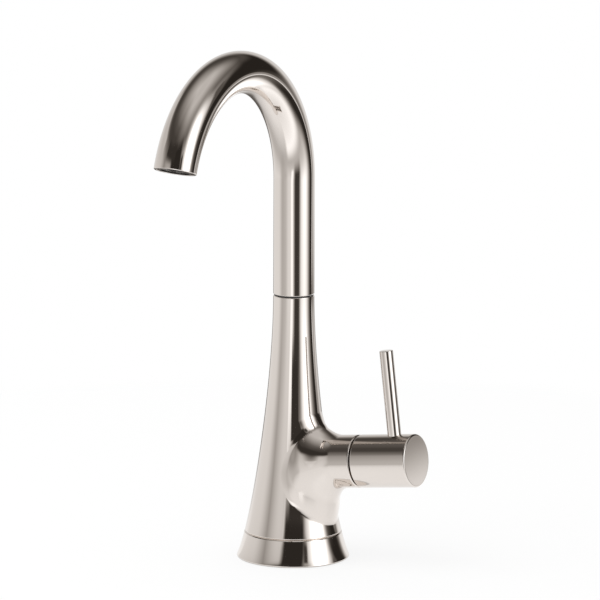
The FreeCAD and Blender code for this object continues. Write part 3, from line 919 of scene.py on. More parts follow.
@dataclass
class Column(Assembly):
    """Flared column with a bulge on its side, which the arm grows from."""

    flare: Flare
    axis: HubAxis
    bulge: Bulge
    bottom: float = 14.4 * MM
    lip: float = 0.45 * MM
    arm_lip: float = 0.8 * MM
    blend: float = 9.0 * MM
    crease: tuple[float, float] = (0.6 * MM, 5.0 * MM)
    crease_rise: tuple[float, float] = (66.0 * MM, 78.0 * MM)
    window_height: float = 48.0 * MM
    window_reach: float = 60.0 * MM
    window_side: float = math.radians(14)
    window_rows: int = 5
    window_rings: int = 10
    bearings: int = 721
    halvings: int = 40
    arm_start: float = 15.0 * MM
    blend_end: float = 36.6 * MM
    blend_rings: int = 56
    blend_ease: float = 1.6
    settle_steps: int = 12
    arm_reach: float = 41.75 * MM
    segments: int = 160
    row_step: float = 1.25 * MM
    spigot_radius: float = 19.85 * MM
    spigot_depth: float = 4.0 * MM
    shank_socket: tuple[float, float] = (13.25 * MM, 27.5 * MM)
    inlet_bore: tuple[float, float] = (7.0 * MM, 48.9 * MM)
    swivel_socket: tuple[float, float] = (8.5 * MM, 116.5 * MM)
    outlet_bore: tuple[float, float] = (5.5 * MM, 54.9 * MM)
    chamber: tuple[float, float] = (11.0 * MM, 12.66 * MM)
    grub_height: float = 126.5 * MM
    grub_radius: float = 1.55 * MM
    grub_depth: float = 2.0 * MM
    grub_window: tuple[int, int] = (8, 3)
    grub_rings: int = 6
    turns: np.ndarray = field(init=False)
    reaches: np.ndarray = field(init=False)

    body = Body.COLUMN

    def make(self, materials: Materials) -> None:
        """Build the column and dress it."""
        self.dress(self.build(), materials, "column")

    def build(self) -> bpy.types.Object:
        """Make the column's mesh.

        Returns:
            The object, not yet dressed.
        """
        skin = Skin()
        flare, outward = self.flare, np.array([1.0, 0.0])
        foot = corner_arc(outward, flare.corner(self.bottom), flare.travel(self.bottom), self.lip)
        head = corner_arc(flare.travel(flare.top), flare.corner(flare.top), -outward, self.lip)
        wall_low, wall_high = foot.points[-1][1], head.points[0][1]
        heights = np.linspace(wall_low, wall_high, round((wall_high - wall_low) / self.row_step) + 1)
        self._find_border()
        ports = [self._arm_port(heights), self._grub_port(heights)]
        low, high, edges = skin.wall(flare.surface, heights, self.segments, ports)
        self._close_top(skin, high, head)
        self._close_bottom(skin, low, foot)
        self._build_arm(skin, *edges[0])
        self._build_grub_hole(skin, *edges[1])
        return skin.build("column_body")

    def _crease(self, points: np.ndarray) -> np.ndarray:
        """Fillet between the flare and the bulge, which widens towards the bulge's top.

        Args:
            points: Points near the crease.

        Returns:
            The fillet's radius at each.
        """
        low, high = self.crease_rise
        share = np.clip((points[..., 2] - low) / (high - low), 0, 1)
        return self.crease[0] + (self.crease[1] - self.crease[0]) * share * share * (3 - 2 * share)

    def _gap(self, points: np.ndarray) -> np.ndarray:
        """Distance from the flare, the bulge and the arm as one body."""
        body = joined(self.flare.distance(points), self.bulge.distance(points), self._crease(points))
        return joined(self.axis.distance(points, self.arm_start), body, self.blend)

    def _slope(self, points: np.ndarray) -> np.ndarray:
        """Gradient of the distance from the body.

        Args:
            points: Points near the surface.

        Returns:
            The gradient at each.
        """
        step = 0.01 * MM
        changes = [self._gap(points + way) - self._gap(points - way) for way in np.eye(3) * step]
        return np.stack(changes, -1) / (2 * step)

    def _find_border(self) -> None:
        """Table of how far the bulge and the arm reach on the flare, seen from the window's middle."""
        self.turns = np.linspace(0, TAU, self.bearings)
        near, far = np.zeros_like(self.turns), np.full_like(self.turns, self.window_reach)
        for _ in range(self.halvings):
            self.reaches = (near + far) / 2
            points, _ = self.flare.surface(*self._border(self.turns))
            inside = self.bulge.distance(points) < self._crease(points)
            inside |= self.axis.distance(points, self.arm_start) < self.blend
            near, far = np.where(inside, self.reaches, near), np.where(inside, far, self.reaches)

    def _border(self, turn: np.ndarray) -> Pair:
        """Where the flare ends and the bulge or the arm begins.

        Args:
            turn: Turns about the window's middle, anticlockwise seen from outside.

        Returns:
            Angles and heights on the flare.
        """
        reach = np.interp(np.mod(turn, TAU), self.turns, self.reaches)
        radius, _ = self.flare.profile(self.window_height)
        return reach * np.cos(turn) / radius, self.window_height + reach * np.sin(turn)

    def _arm_port(self, heights: np.ndarray) -> Port:
        """Opening in the flare where the bulge and the arm come out.

        Args:
            heights: The wall's rows.

        Returns:
            The opening.
        """
        angle, height = self._border(self.turns)
        margin = self.window_rows * self.row_step
        low = int(np.searchsorted(heights, height.min() - margin))
        high = int(np.searchsorted(heights, height.max() + margin))
        half = round((angle.max() + self.window_side) / TAU * self.segments)
        return Port((-half, half), (max(low, 1), high), self._border, self.window_rings)

    def _grub_port(self, heights: np.ndarray) -> Port:
        """Opening for the spout's retaining screw, in the column's back.

        Args:
            heights: The wall's rows.

        Returns:
            The opening.
        """
        radius, _ = self.flare.profile(self.grub_height)

        def edge(turn: np.ndarray) -> Pair:
            """Round hole on the wall."""
            across = np.arcsin(self.grub_radius * np.cos(turn) / radius)
            return math.pi / 2 + across, self.grub_height + self.grub_radius * np.sin(turn)

        row, column = int(np.searchsorted(heights, self.grub_height)), round(self.segments / 4)
        wide, tall = self.grub_window
        return Port((column - wide, column + wide), (row - tall, row + tall), edge, self.grub_rings)

    def _close_top(self, skin: Skin, ring: np.ndarray, arc: Stretch) -> None:
        """Lip, swivel socket and outlet bore.

        Args:
            skin: The mesh in the making.
            ring: The wall's highest ring.
            arc: The lip.
        """
        radius, floor = self.swivel_socket
        bore, end = self.outlet_bore
        top = self.flare.top
        inside = [
            (arc.points[-1][0], top), (radius, top), (radius, floor), (bore, floor), (bore, end), (0.0, end),
        ]
        skin.spin([arc, *outline(inside)], UPRIGHT, circle(self.segments), first=ring)

    def _close_bottom(self, skin: Skin, ring: np.ndarray, arc: Stretch) -> None:
        """Lip, spigot, shank socket and inlet bore, from the inside out to the wall.

        Args:
            skin: The mesh in the making.
            ring: The wall's lowest ring.
            arc: The lip.
        """
        radius, top = self.shank_socket
        bore, end = self.inlet_bore
        under = self.bottom - self.spigot_depth
        inside = [
            (0.0, end), (bore, end), (bore, top), (radius, top), (radius, under), (self.spigot_radius, under),
            (self.spigot_radius, self.bottom), (arc.points[0][0], self.bottom),
        ]
        skin.spin([*outline(inside), arc], UPRIGHT, circle(self.segments), last=ring)

    def _build_arm(self, skin: Skin, ring: np.ndarray, turns: np.ndarray) -> None:
        """Bulge, arm, its lip and the cartridge chamber.

        Args:
            skin: The mesh in the making.
            ring: The opening's edge.
            turns: The turn of each of its points.
        """
        placing = self.axis.placing()
        border, normals = self.flare.surface(*self._border(turns))
        local = border - placing.origin
        angles = np.arctan2(local @ placing.y, local @ placing.x)
        target = placing.point(self.axis.radius, angles, self.blend_end)
        for share in np.linspace(0, 1, self.blend_rings + 1)[1:]:
            points = border + (target - border) * share**self.blend_ease
            for _ in range(self.settle_steps):
                slope = self._slope(points)
                points = points - slope * (self._gap(points) / (slope * slope).sum(-1))[:, None]
            slope = self._slope(points)
            after_normals = slope / np.linalg.norm(slope, axis=-1)[:, None]
            after = skin.ring(points)
            skin.strip(ring, after, normals, after_normals)
            ring, normals = after, after_normals
        chamber, floor = self.chamber
        end = [
            (self.axis.radius, self.blend_end), (self.axis.radius, self.arm_reach, self.arm_lip),
            (chamber, self.arm_reach), (chamber, floor), (0.0, floor),
        ]
        skin.spin(outline(end), placing, angles, first=ring)

    def _build_grub_hole(self, skin: Skin, ring: np.ndarray, turns: np.ndarray) -> None:
        """Wall and floor of the retaining screw's hole.

        Args:
            skin: The mesh in the making.
            ring: The opening's edge.
            turns: The turn of each of its points.
        """
        wall, _ = self.flare.profile(self.grub_height)
        x, z = -self.grub_radius * np.cos(turns), self.grub_height + self.grub_radius * np.sin(turns)
        floor = skin.ring(UPRIGHT.direction(x, wall - self.grub_depth, z))
        normals = UPRIGHT.direction(np.cos(turns), 0.0, -np.sin(turns))
        skin.strip(ring, floor, normals, normals)
        skin.face(floor, [UPRIGHT.y] * len(floor))


@dataclass
class BaseRing(Assembly):
    """Flared foot under the column, hollow below, with a groove for the gasket."""

    flare: Flare
    top: float = 14.4 * MM
    chamfer: float = 0.8 * MM
    rim_round: float = 0.7 * MM
    counterbore: tuple[float, float] = (19.95 * MM, 10.3 * MM)
    shank_hole: float = 13.7 * MM
    boss_wall: float = 2.8 * MM
    web: float = 2.0 * MM
    gasket: tuple[float, float] = (24.75 * MM, 28.75 * MM)
    gasket_depth: float = 2.0 * MM
    gasket_land: float = 1.5 * MM
    segments: int = 192
    row_step: float = 0.8 * MM

    body = Body.COLUMN

    def make(self, materials: Materials) -> None:
        """Build the ring and dress it."""
        self.dress(self.build(), materials, "base_ring")

    def build(self) -> bpy.types.Object:
        """Make the ring's mesh.

        Returns:
            The object, not yet dressed.
        """
        flare, outward = self.flare, np.array([1.0, 0.0])
        rim = corner_arc(outward, flare.corner(0.0), flare.travel(0.0), self.rim_round)
        inner = flare.corner(self.top) - outward * self.chamfer
        lip = straight(flare.corner(self.top - self.chamfer), inner, self.chamfer)
        wall = flare.stretch(rim.points[-1][1], lip.points[0][1], self.row_step)
        seat, seat_floor = self.counterbore
        boss = self.shank_hole + self.boss_wall
        ceiling = seat_floor - self.web
        groove_in, groove_out = self.gasket
        hollow = groove_in - self.gasket_land
        inside = [
            (lip.points[-1][0], self.top), (seat, self.top), (seat, seat_floor),
            (self.shank_hole, seat_floor), (self.shank_hole, 0.0), (boss, 0.0), (boss, ceiling),
            (hollow, ceiling), (hollow, 0.0), (groove_in, 0.0), (groove_in, self.gasket_depth),
            (groove_out, self.gasket_depth), (groove_out, 0.0), (rim.points[0][0], 0.0),
        ]
        skin = Skin()
        skin.spin([rim, wall, lip, *outline(inside)], UPRIGHT, circle(self.segments), closed=True)
        return skin.build("base_foot")


@dataclass
class Gooseneck(Assembly):
    """Spout tube: turned straight with rounded ends, then bent like a pipe."""

    radius: float = 11.1 * MM
    wall: float = 1.5 * MM
    bottom: float = 144.6 * MM
    riser: float = 62.9 * MM
    bend_radius: float = 63.2 * MM
    bend_angle: float = math.radians(163.0)
    lip: float = 0.45 * MM
    outlet_bore: float = 9.7 * MM
    outlet_depth: float = 9.0 * MM
    segments: int = 128
    row_step: float = 1.4 * MM

    body = Body.SPOUT

    def make(self, materials: Materials) -> None:
        """Build the tube and dress it."""
        self.dress(self.build(materials[self.slot]), materials, "spout_tube")

    def build(self, material: bpy.types.Material) -> bpy.types.Object:
        """Make the tube's mesh.

        Args:
            material: The finish that the bending tree sets.

        Returns:
            The object, not yet dressed.
        """
        bore, inner_lip = self.radius - self.wall, self.lip / 2
        top = self.bottom + self.riser + self.bend_radius * self.bend_angle
        corners = [
            (bore, self.bottom, inner_lip), (self.radius, self.bottom, self.lip),
            (self.radius, top, self.lip), (self.outlet_bore, top, inner_lip),
            (self.outlet_bore, top - self.outlet_depth), (bore, top - self.outlet_depth),
        ]
        skin = Skin()
        skin.spin(outline(corners, self.row_step, closed=True), UPRIGHT, circle(self.segments), closed=True)
        return self._bending().apply(skin.build("gooseneck_tube"), material)

    def _bending(self) -> ShapeTree:
        """Tree that bends what stands above the riser forward round the bend's centre.

        Returns:
            The finished tree.
        """
        sizes = {"Bend start": self.bottom + self.riser, "Bend radius": self.bend_radius}
        tree = ShapeTree("pipe_bend", sizes)
        graph = tree.graph
        x, y, z = tree.place()
        start, radius = tree.given("Bend start"), tree.given("Bend radius")
        angle = graph.math("MAXIMUM", z - start, 0.0) / radius
        reach = radius + y
        tree.move(x, reach * graph.math("COSINE", angle) - radius,
                  graph.math("MINIMUM", z, start) + reach * graph.math("SINE", angle))
        return tree


@dataclass(frozen=True)
class Hole:
    """Round hole in the hub, square to its axis; side is 1 for a hole from above, -1 from below."""

    side: float
    place: float
    rim: float
    radius: float
    floor: float


@dataclass
class Handle(Assembly):
    """Hub that covers the valve and the lever rod that stands in it."""

    axis: HubAxis
    start: float = 42.65 * MM
    end: float = 75.9 * MM
    lip: float = 0.6 * MM
    end_round: float = 0.9 * MM
    end_crown: float = 0.06 * MM
    crown_points: int = 13
    cavity: tuple[float, float] = (12.0 * MM, 47.7 * MM)
    stem_bore: tuple[float, float] = (4.03 * MM, 60.2 * MM)
    lever_place: float = 63.95 * MM
    lever_radius: float = 3.65 * MM
    lever_seat: float = 9.3 * MM
    lever_tip: float = 59.76 * MM
    lever_round: float = 0.4 * MM
    lever_gap: float = 0.03 * MM
    lever_segments: int = 96
    lever_step: float = 2.0 * MM
    countersink: float = 0.22 * MM
    screw_place: float = 53.7 * MM
    screw_radius: float = 2.03 * MM
    screw_depth: float = 5.0 * MM
    segments: int = 160
    row_step: float = 0.8 * MM
    window_share: float = 2.0
    window_rings: int = 8

    body = Body.HANDLE

    def make(self, materials: Materials) -> None:
        """Build the hub and the lever and dress them."""
        self.dress(self.build_hub(), materials, "handle_hub")
        self.dress(self.build_lever(), materials, "lever_rod")

    def build_hub(self) -> bpy.types.Object:
        """Make the hub.

        Returns:
            The object, not yet dressed.
        """
        placing, angles = self.axis.placing(), circle(self.segments)
        radius = self.axis.radius
        outward, along = np.eye(2)
        first = corner_arc(outward, np.array([radius, self.start]), along, self.lip)
        last = corner_arc(along, np.array([radius, self.end - self.end_crown]), -outward, self.end_round)
        low, high = first.points[-1][1], last.points[0][1]
        heights = np.linspace(low, high, round((high - low) / self.row_step) + 1)
        rim = self.lever_radius + self.lever_gap + self.countersink
        holes = (
            Hole(1.0, self.lever_place, rim, rim - self.countersink, self.lever_seat),
            Hole(-1.0, self.screw_place, self.screw_radius, self.screw_radius, radius - self.screw_depth),
        )

        def surface(angle: np.ndarray, height: Number) -> Pair:
            """The hub's round wall."""
            return placing.point(radius, angle, height), placing.turned(outward, angle)

        skin = Skin()
        ports = [self._port(heights, hole) for hole in holes]
        lowest, highest, edges = skin.wall(surface, heights, self.segments, ports)
        skin.spin([last, self._end_face(last.points[-1])], placing, angles, first=highest)
        cavity, cavity_end = self.cavity
        bore, bore_end = self.stem_bore
        inside = [
            (0.0, bore_end), (bore, bore_end), (bore, cavity_end), (cavity, cavity_end),
            (cavity, self.start), (first.points[0][0], self.start),
        ]
        skin.spin([*outline(inside), first], placing, angles, last=lowest)
        for hole, edge in zip(holes, edges):
            self._sink(skin, placing, hole, edge)
        return skin.build("lever_hub")

    def _end_face(self, rim: np.ndarray) -> Stretch:
        """Slightly crowned end.

        Args:
            rim: (radius, height) of its rim.

        Returns:
            The end from its rim to the middle.
        """
        share = np.linspace(1, 0, self.crown_points)
        rise = self.end_crown * (1 - share * share)
        slope = 2 * self.end_crown * share / rim[0]
        size = np.sqrt(1 + slope * slope)
        return Stretch(np.stack([rim[0] * share, rim[1] + rise], 1), np.stack([slope / size, 1 / size], 1))

    def _port(self, heights: np.ndarray, hole: Hole) -> Port:
        """Opening of a hole in the hub's wall.

        Args:
            heights: The wall's rows.
            hole: The hole.

        Returns:
            The opening.
        """
        middle = 0.0 if hole.side > 0 else math.pi

        def edge(turn: np.ndarray) -> Pair:
            """Angle and place of the opening's edge."""
            across = np.arcsin(hole.rim * np.cos(turn) / self.axis.radius)
            return middle + across, hole.place + hole.rim * np.sin(turn)

        half = self.window_share * hole.rim
        tall, wide = round(half / self.row_step), round(half / self.axis.radius / TAU * self.segments)
        row = int(np.argmin(np.abs(heights - hole.place)))
        column = round(middle / TAU * self.segments)
        return Port((column - wide, column + wide), (row - tall, row + tall), edge, self.window_rings)

    def _sink(self, skin: Skin, placing: Placing, hole: Hole, edge: Pair) -> None:
        """Countersink, wall and floor of a hole in the hub.

        Args:
            skin: The mesh in the making.
            placing: The hub's frame.
            hole: The hole.
            edge: The opening's ring and turns.
        """
        ring, turns = edge
        inward = placing.direction(0.0, -hole.side * np.cos(turns), -np.sin(turns))
        upward = placing.direction(hole.side, 0.0, 0.0)
        across = hole.side * hole.radius * np.cos(turns)
        along = hole.place + hole.radius * np.sin(turns)

        def level(height: Number) -> np.ndarray:
            """Ring of points on the hole's wall."""
            return placing.origin + placing.direction(hole.side * height, across, along)

        if hole.radius < hole.rim:
            surface = np.sqrt(self.axis.radius**2 - (hole.rim * np.cos(turns)) ** 2)
            slanted = (inward + upward) / math.sqrt(2)
            after = skin.ring(level(surface - (hole.rim - hole.radius)))
            skin.strip(ring, after, slanted, slanted)
            ring = after
        after = skin.ring(level(hole.floor))
        skin.strip(ring, after, inward, inward)
        skin.face(after, [upward] * len(after))

    def build_lever(self) -> bpy.types.Object:
        """Make the lever rod.

        Returns:
            The object, not yet dressed.
        """
        hub = self.axis.placing()
        placing = Placing(hub.origin + hub.z * self.lever_place, hub.z, -hub.y, hub.x)
        corners = [
            (0.0, self.lever_seat), (self.lever_radius, self.lever_seat),
            (self.lever_radius, self.lever_tip, self.lever_round), (0.0, self.lever_tip),
        ]
        skin = Skin()
        skin.spin(outline(corners, self.lever_step), placing, circle(self.lever_segments))
        return skin.build("lever")


@dataclass
class Shank(Assembly):
    """Hollow threaded shank below the column."""

    radius: float = 13.2 * MM
    bore: float = 9.0 * MM
    top: float = 26.0 * MM
    bottom: float = -62.0 * MM
    end_round: float = 0.4 * MM
    pitch: float = 1.814 * MM
    depth: float = 1.1 * MM
    run_out: float = 2.0 * MM
    crest_play: float = 0.05 * MM
    rows_per_turn: int = 10
    segments: int = 80

    body = Body.COLUMN
    slot = Slot.BRASS

    def make(self, materials: Materials) -> None:
        """Build the shank and dress it."""
        self.dress(self.build(materials[self.slot]), materials, "mounting_shank")

    def build(self, material: bpy.types.Material) -> bpy.types.Object:
        """Make the shank's mesh.

        Args:
            material: The finish that the thread's tree sets.

        Returns:
            The object, not yet dressed.
        """
        corners = [
            (self.bore, self.bottom), (self.radius, self.bottom, self.end_round),
            (self.radius, self.top, self.end_round), (self.bore, self.top),
        ]
        skin = Skin()
        rows = outline(corners, self.pitch / self.rows_per_turn, closed=True)
        skin.spin(rows, UPRIGHT, circle(self.segments), closed=True)
        return self._threading().apply(skin.build("threaded_shank"), material)

    def _threading(self) -> ShapeTree:
        """Tree that cuts a right-hand thread into the outer wall.

        Returns:
            The finished tree.
        """
        sizes = {"Radius": self.radius, "Pitch": self.pitch, "Depth": self.depth,
                 "Low": self.bottom + self.run_out, "High": -self.run_out}
        tree = ShapeTree("shank_thread", sizes)
        graph = tree.graph
        x, y, z = tree.place()
        reach, pitch = graph.reach(x, y), tree.given("Pitch")
        turned = z / pitch - graph.math("ARCTAN2", y, x) / TAU
        ridge = graph.math("COSINE", turned * TAU) * 0.5 + 0.5
        outer = graph.math("GREATER_THAN", reach, tree.given("Radius") - self.crest_play)
        above = graph.clamp((z - tree.given("Low")) / pitch)
        below = graph.clamp((tree.given("High") - z) / pitch)
        cut = (1 - ridge) * above * below * outer * tree.given("Depth")
        scale = 1 - cut / graph.math("MAXIMUM", reach, MM)
        tree.move(x * scale, y * scale, z)
        return tree


@dataclass(frozen=True)
class Panel:
    """Soft-edged card of the studio, placed in degrees from the camera's side."""

    azimuth: float
    elevation: float
    half_width: float
    half_height: float
    soft: float
    light: float
    slant: float = 0.0

    def mask(self, graph: Graph, turn: Value, rise: Value) -> Value:
        """How far the card covers a direction.

        Args:
            graph: The tent's graph.
            turn: The direction's azimuth.
            rise: Its elevation.

        Returns:
            1 on the card and 0 beside it.
        """
        up = rise - self.elevation
        across = graph.math("WRAP", turn - self.azimuth - up * self.slant, 180.0, -180.0)
        return self._fade(graph, across, self.half_width) * self._fade(graph, up, self.half_height)

    def _fade(self, graph: Graph, offset: Value, half: float) -> Value:
        """1 nearer than half a side to the card's middle, 0 beyond it, with a soft edge."""
        return graph.ease(graph.math("ABSOLUTE", offset), half + self.soft / 2, half - self.soft / 2)


@dataclass
class Studio:
    """Camera, floor, light tent, lamp and world."""

    azimuth: float = 29.345
    elevation: float = 10.063
    distance: float = 2.2
    target_height: float = 140.99 * MM
    roll: float = 0.003
    focal_pixels: float = 4085.0
    frame_pixels: float = 600.0
    axis_pixel: float = 293.82
    sensor: float = 36.0
    world_light: float = 0.82
    floor_radius: float = 0.52
    floor_edge: float = 0.9
    floor_corners: int = 96
    floor_grey: float = 0.96
    floor_glow: float = 0.8
    floor_shine: tuple[float, float] = (0.02, 0.50)
    floor_drop: float = 0.3 * MM
    # painted contact shadow: the reach of the dark ring round the foot that reflections of the floor show,
    # and below, how dark it is
    painted_shadow_reach: tuple[float, float] = (31.0 * MM, 32.5 * MM)
    contact_shade: float = 0.4
    lamp_size: float = 1.2
    lamp_energy: float = 9.0
    lamp_place: tuple[float, float, float] = (-0.5, -0.7, 1.5)
    lamp_aim: tuple[float, float, float] = (0.0, 0.0, 0.1)
    tent_radius: float = 4.0
    tent_rows: int = 24
    tent_columns: int = 48
    wall_stops: tuple[tuple[float, float], ...] = (
        (-90, 0.53), (-60, 0.13), (-34, 0.37), (-18, 0.70), (-8, 0.88), (24, 0.63), (33, 0.29), (41, 0.07),
        (48, 0.06), (56, 0.11), (64, 0.24), (76, 0.43), (90, 0.64),
    )
    cards: tuple[Panel, ...] = (
        Panel(-67, 15, 2, 40, 60, 0.05, -0.08),  # broad shade on the left
        Panel(59, -65, 87, 30, 20, 1.7, -0.1),  # glow of the table
        Panel(73, 69, 75, 12, 60, 0.7, 0.1),  # glow of the ceiling
        Panel(139, -22, 23, 12, 10, 1.8, 1.05),  # low bright card behind the lever
        Panel(61, 17, 15, 19, 34, 2.8),  # window on the right
        Panel(-14, -1, 6, 15, 5, 1.3, -0.45),  # bright strip left of the camera
        Panel(-1.5, 24, 26, 18.5, 12, 0.025, -0.3),  # black flag above the camera
        Panel(16.5, -6.5, 17, 12, 16.5, 0.045, -0.3),  # black flag right of the camera
        Panel(110.5, 1, 20, 34.5, 31, 0.025, 0.3),  # black flag past the window
        Panel(127, 19.5, 25, 20, 21, 0.02, 1.1),  # its upper end, leaning back
        Panel(5.5, 4.5, 14.5, 6.5, 4, 0.035, -0.15),  # the camera's own shade
        Panel(148, -9.5, 26, 2, 5, 0.05),  # dark edge of the table behind
        Panel(119.5, -5, 3.5, 2.5, 1.5, 0.88),  # slot that the hub's end shows
        Panel(119.5, -2.5, 4, 2.5, 2.5, 0.3),  # shade in the slot's upper half
        Panel(98, 22, 5.5, 8, 6, 0.1),  # the window's far frame
        Panel(28, 21, 4.5, 7, 5, 0.05),  # the window's near frame
        Panel(-56.5, -11, 16.5, 9.5, 25, 0.54, 0.15),  # grey card low on the left
        Panel(-37, 37, 27, 6.5, 7.5, 0.035, 0.1),  # black flag high on the left
        Panel(-118, 27, 24, 7, 6, 0.62),  # pale wall far on the left
        Panel(-168, -20, 14, 15, 12, 0.12),  # dark corner behind
    )
    warmth: float = 0.04

    def build(self) -> None:
        """Set up everything that isn't part of the faucet."""
        bpy.context.scene.view_settings.view_transform = "Standard"
        self._camera()
        self._world()
        self._floor()
        self._tent()
        self._lamp()

    def _camera(self) -> None:
        """Camera at the photograph's place."""
        turn, rise = math.radians(self.azimuth), math.radians(self.elevation)
        back = Vector((math.sin(turn) * math.cos(rise), -math.cos(turn) * math.cos(rise), math.sin(rise)))
        right = Vector((math.cos(turn), math.sin(turn), 0.0))
        up = back.cross(right)
        right, up = right + self.roll * up, up - self.roll * right
        axes = Matrix((right.normalized(), up.normalized(), back)).transposed().to_4x4()
        lens = bpy.data.cameras.new("camera")
        lens.sensor_width = self.sensor
        lens.lens = self.focal_pixels / self.frame_pixels * self.sensor
        lens.shift_x = 0.5 - self.axis_pixel / self.frame_pixels
        camera = put("camera", lens)
        eye = Vector((0, 0, self.target_height)) + back * self.distance
        camera.matrix_world = Matrix.Translation(eye) @ axes
        bpy.context.scene.camera = camera

    @staticmethod
    def _seen(graph: Graph) -> Value:
        """Tell rays that show a surface from rays that light the object.

        Args:
            graph: The material's or the world's graph.

        Returns:
            1 for camera, glossy and transmission rays, 0 for others.
        """
        path = graph.add("ShaderNodeLightPath").socket.node
        rays = [Value(graph, path.outputs[f"Is {kind} Ray"]) for kind in ("Camera", "Glossy", "Transmission")]
        return graph.math("MAXIMUM", rays[0], graph.math("MAXIMUM", rays[1], rays[2]))

    def _world(self) -> None:
        """White surroundings, a little dimmer as a light."""
        world = bpy.data.worlds.new("studio")
        world.use_nodes = True
        graph = Graph(world.node_tree)
        strength = self.world_light + self._seen(graph) * (1 - self.world_light)
        shader = graph.add("ShaderNodeBackground", None, {"Color": (1, 1, 1, 1), "Strength": strength})
        graph.add("ShaderNodeOutputWorld", None, {"Surface": shader})
        bpy.context.scene.world = world

    def _floor(self) -> bpy.types.Object:
        """Pale deck that keeps a faint shadow and can't be seen from below.

        Returns:
            A flat round object.
        """
        mesh = bpy.data.meshes.new("deck_floor")
        rim = UPRIGHT.point(self.floor_radius, circle(self.floor_corners), -self.floor_drop)
        mesh.from_pydata([tuple(point) for point in rim], [], [tuple(range(self.floor_corners))])
        mesh.materials.append(self._floor_material())
        return put("deck_floor", mesh)

    def _floor_material(self) -> bpy.types.Material:
        """White for the rays that show it, with a painted shadow ring round the foot that only reflections
        show, matt for the rest, clear at the edge and from below.

        Returns:
            The material.
        """
        material, graph = blank_material("pale_deck")
        x, y, _ = graph.split(graph.add("ShaderNodeTexCoord", output="Object"))
        reach = graph.reach(x, y)
        back = graph.add("ShaderNodeNewGeometry", output="Backfacing")
        glossy = graph.add("ShaderNodeLightPath", output="Is Glossy Ray")
        # painted shadow: the floor's white is dimmed in a ring round the foot, for glossy rays only
        painted_shadow_level = 1 - glossy * (1 - graph.ease(reach, *self.painted_shadow_reach)) * self.contact_shade
        white = graph.add("ShaderNodeEmission", None, {"Color": graph.colour(painted_shadow_level, painted_shadow_level, painted_shadow_level)})
        matt = graph.add("ShaderNodeBsdfDiffuse", None, {"Color": (*[self.floor_grey] * 3, 1.0)})
        glow = self._seen(graph) * self.floor_glow
        pale = graph.add("ShaderNodeMixShader", None, {0: glow, 1: matt, 2: white})
        edge = graph.ease(reach, self.floor_radius * self.floor_edge, self.floor_radius)
        shine = graph.ease(reach, *self.floor_shine)
        gone = graph.math("MAXIMUM", edge + glossy * (shine - edge), back)
        clear = graph.add("ShaderNodeBsdfTransparent")
        shader = graph.add("ShaderNodeMixShader", None, {0: gone, 1: pale, 2: clear})
        graph.add("ShaderNodeOutputMaterial", None, {"Surface": shader})
        return material

    def _tent(self) -> bpy.types.Object:
        """Light tent round the set, which only reflections show.

        Returns:
            A sphere that neither the camera nor the lamp's light meets.
        """
        tent = Skin()
        turned = [(math.sin(t) * self.tent_radius, -math.cos(t) * self.tent_radius)
                  for t in np.linspace(0, math.pi, self.tent_rows)]
        tent.spin(outline(turned), UPRIGHT, circle(self.tent_columns))
        made = tent.build("light_tent")
        made.data.materials.append(self._tent_material())
        made.visible_camera = False
        made.visible_diffuse = False
        made.visible_shadow = False
        return made

    def _tent_material(self) -> bpy.types.Material:
        """Walls that change with height, and soft cards on them.

        Returns:
            The material.
        """
        material, graph = blank_material("light_tent")
        material.cycles.emission_sampling = "NONE"
        place = graph.add("ShaderNodeTexCoord", output="Object")
        way = graph.add("ShaderNodeVectorMath", {"operation": "NORMALIZE"}, {0: place})
        x, y, z = graph.split(way)
        rise = graph.math("DEGREES", graph.math("ARCSINE", z))
        turn = graph.math("DEGREES", graph.math("ARCTAN2", x, 0 - y)) - self.azimuth
        stops = [((degrees + 90) / 180, light) for degrees, light in self.wall_stops]
        light = graph.add("ShaderNodeValToRGB", {"stops": stops}, {0: (rise + 90.0) / 180.0})
        for card in self.cards:
            light = light + card.mask(graph, turn, rise) * (card.light - light)
        warm = graph.math("POWER", light, 1 - self.warmth)
        cool = graph.math("POWER", light, 1 + self.warmth)
        shader = graph.add("ShaderNodeEmission", None, {"Color": graph.colour(warm, light, cool)})
        graph.add("ShaderNodeOutputMaterial", None, {"Surface": shader})
        return material

    def _lamp(self) -> None:
        """Soft lamp from above that metal doesn't show."""
        light = bpy.data.lights.new("soft_lamp", "AREA")
        light.shape = "DISK"
        light.size = self.lamp_size
        light.energy = self.lamp_energy
        lamp = put("soft_lamp", light)
        lamp.location = self.lamp_place
        lamp.rotation_euler = (Vector(self.lamp_aim) - lamp.location).to_track_quat("-Z", "Y").to_euler()
        lamp.visible_glossy = False


FINISHES: dict[Slot, Finish] = {
    Slot.NICKEL: PolishedNickel("polished_nickel_plate", (0.79, 0.735, 0.69), 0.04, 1.0),
    Slot.BRASS: TurnedMetal("turned_brass", (0.72, 0.52, 0.25), 0.2, 1.0, bump=0.25),
    Slot.RUBBER: Finish("moulded_rubber", (0.022, 0.022, 0.023), 0.62, bump=0.3),
    Slot.DARK_ACETAL: Finish("dark_acetal_plastic", (0.03, 0.03, 0.032), 0.42, bump=0.12),
    Slot.WHITE_ACETAL: Finish("white_acetal_plastic", (0.74, 0.74, 0.71), 0.4, bump=0.12),
    Slot.CERAMIC: Finish("lapped_alumina", (0.86, 0.85, 0.82), 0.3, bump=0.08),
    Slot.STEEL: TurnedMetal("stainless_steel_plain", (0.6, 0.6, 0.6), 0.24, 1.0, bump=0.2),
}


def finish_cad_nodes(frame: dict[str, Any], materials: Materials) -> None:
    """Give every CAD node that is still shown the finish of its slot.

    Args:
        materials: The finishes' materials.
    """
    for row in frame["record"]["subparts"]:
        node = frame["nodes"][row["node"]]
        if node.hide_render:
            continue
        for place in node.material_slots:
            place.material = materials[Slot(row["material_slot"])]
        LOG.info("%s: CAD node in %s", row["node"], row["material_slot"])


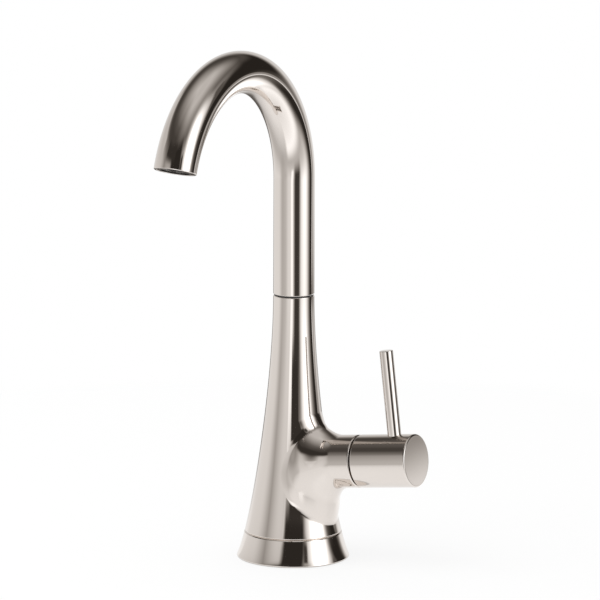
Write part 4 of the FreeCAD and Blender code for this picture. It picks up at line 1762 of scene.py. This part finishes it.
def main() -> None:
    """Build the faucet's pieces in order, then the studio round them."""
    logging.basicConfig(level=logging.INFO, format="%(name)s: %(message)s")
    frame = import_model()
    materials = {slot: finish.material() for slot, finish in FINISHES.items()}
    flare, axis = Flare(), HubAxis()
    for assembly in (Gooseneck(), Column(flare, axis, Bulge()), BaseRing(flare), Handle(axis), Shank()):
        assembly.make(materials)
    finish_cad_nodes(frame, materials)
    Studio().build()


if __name__ == "__main__":
    main()
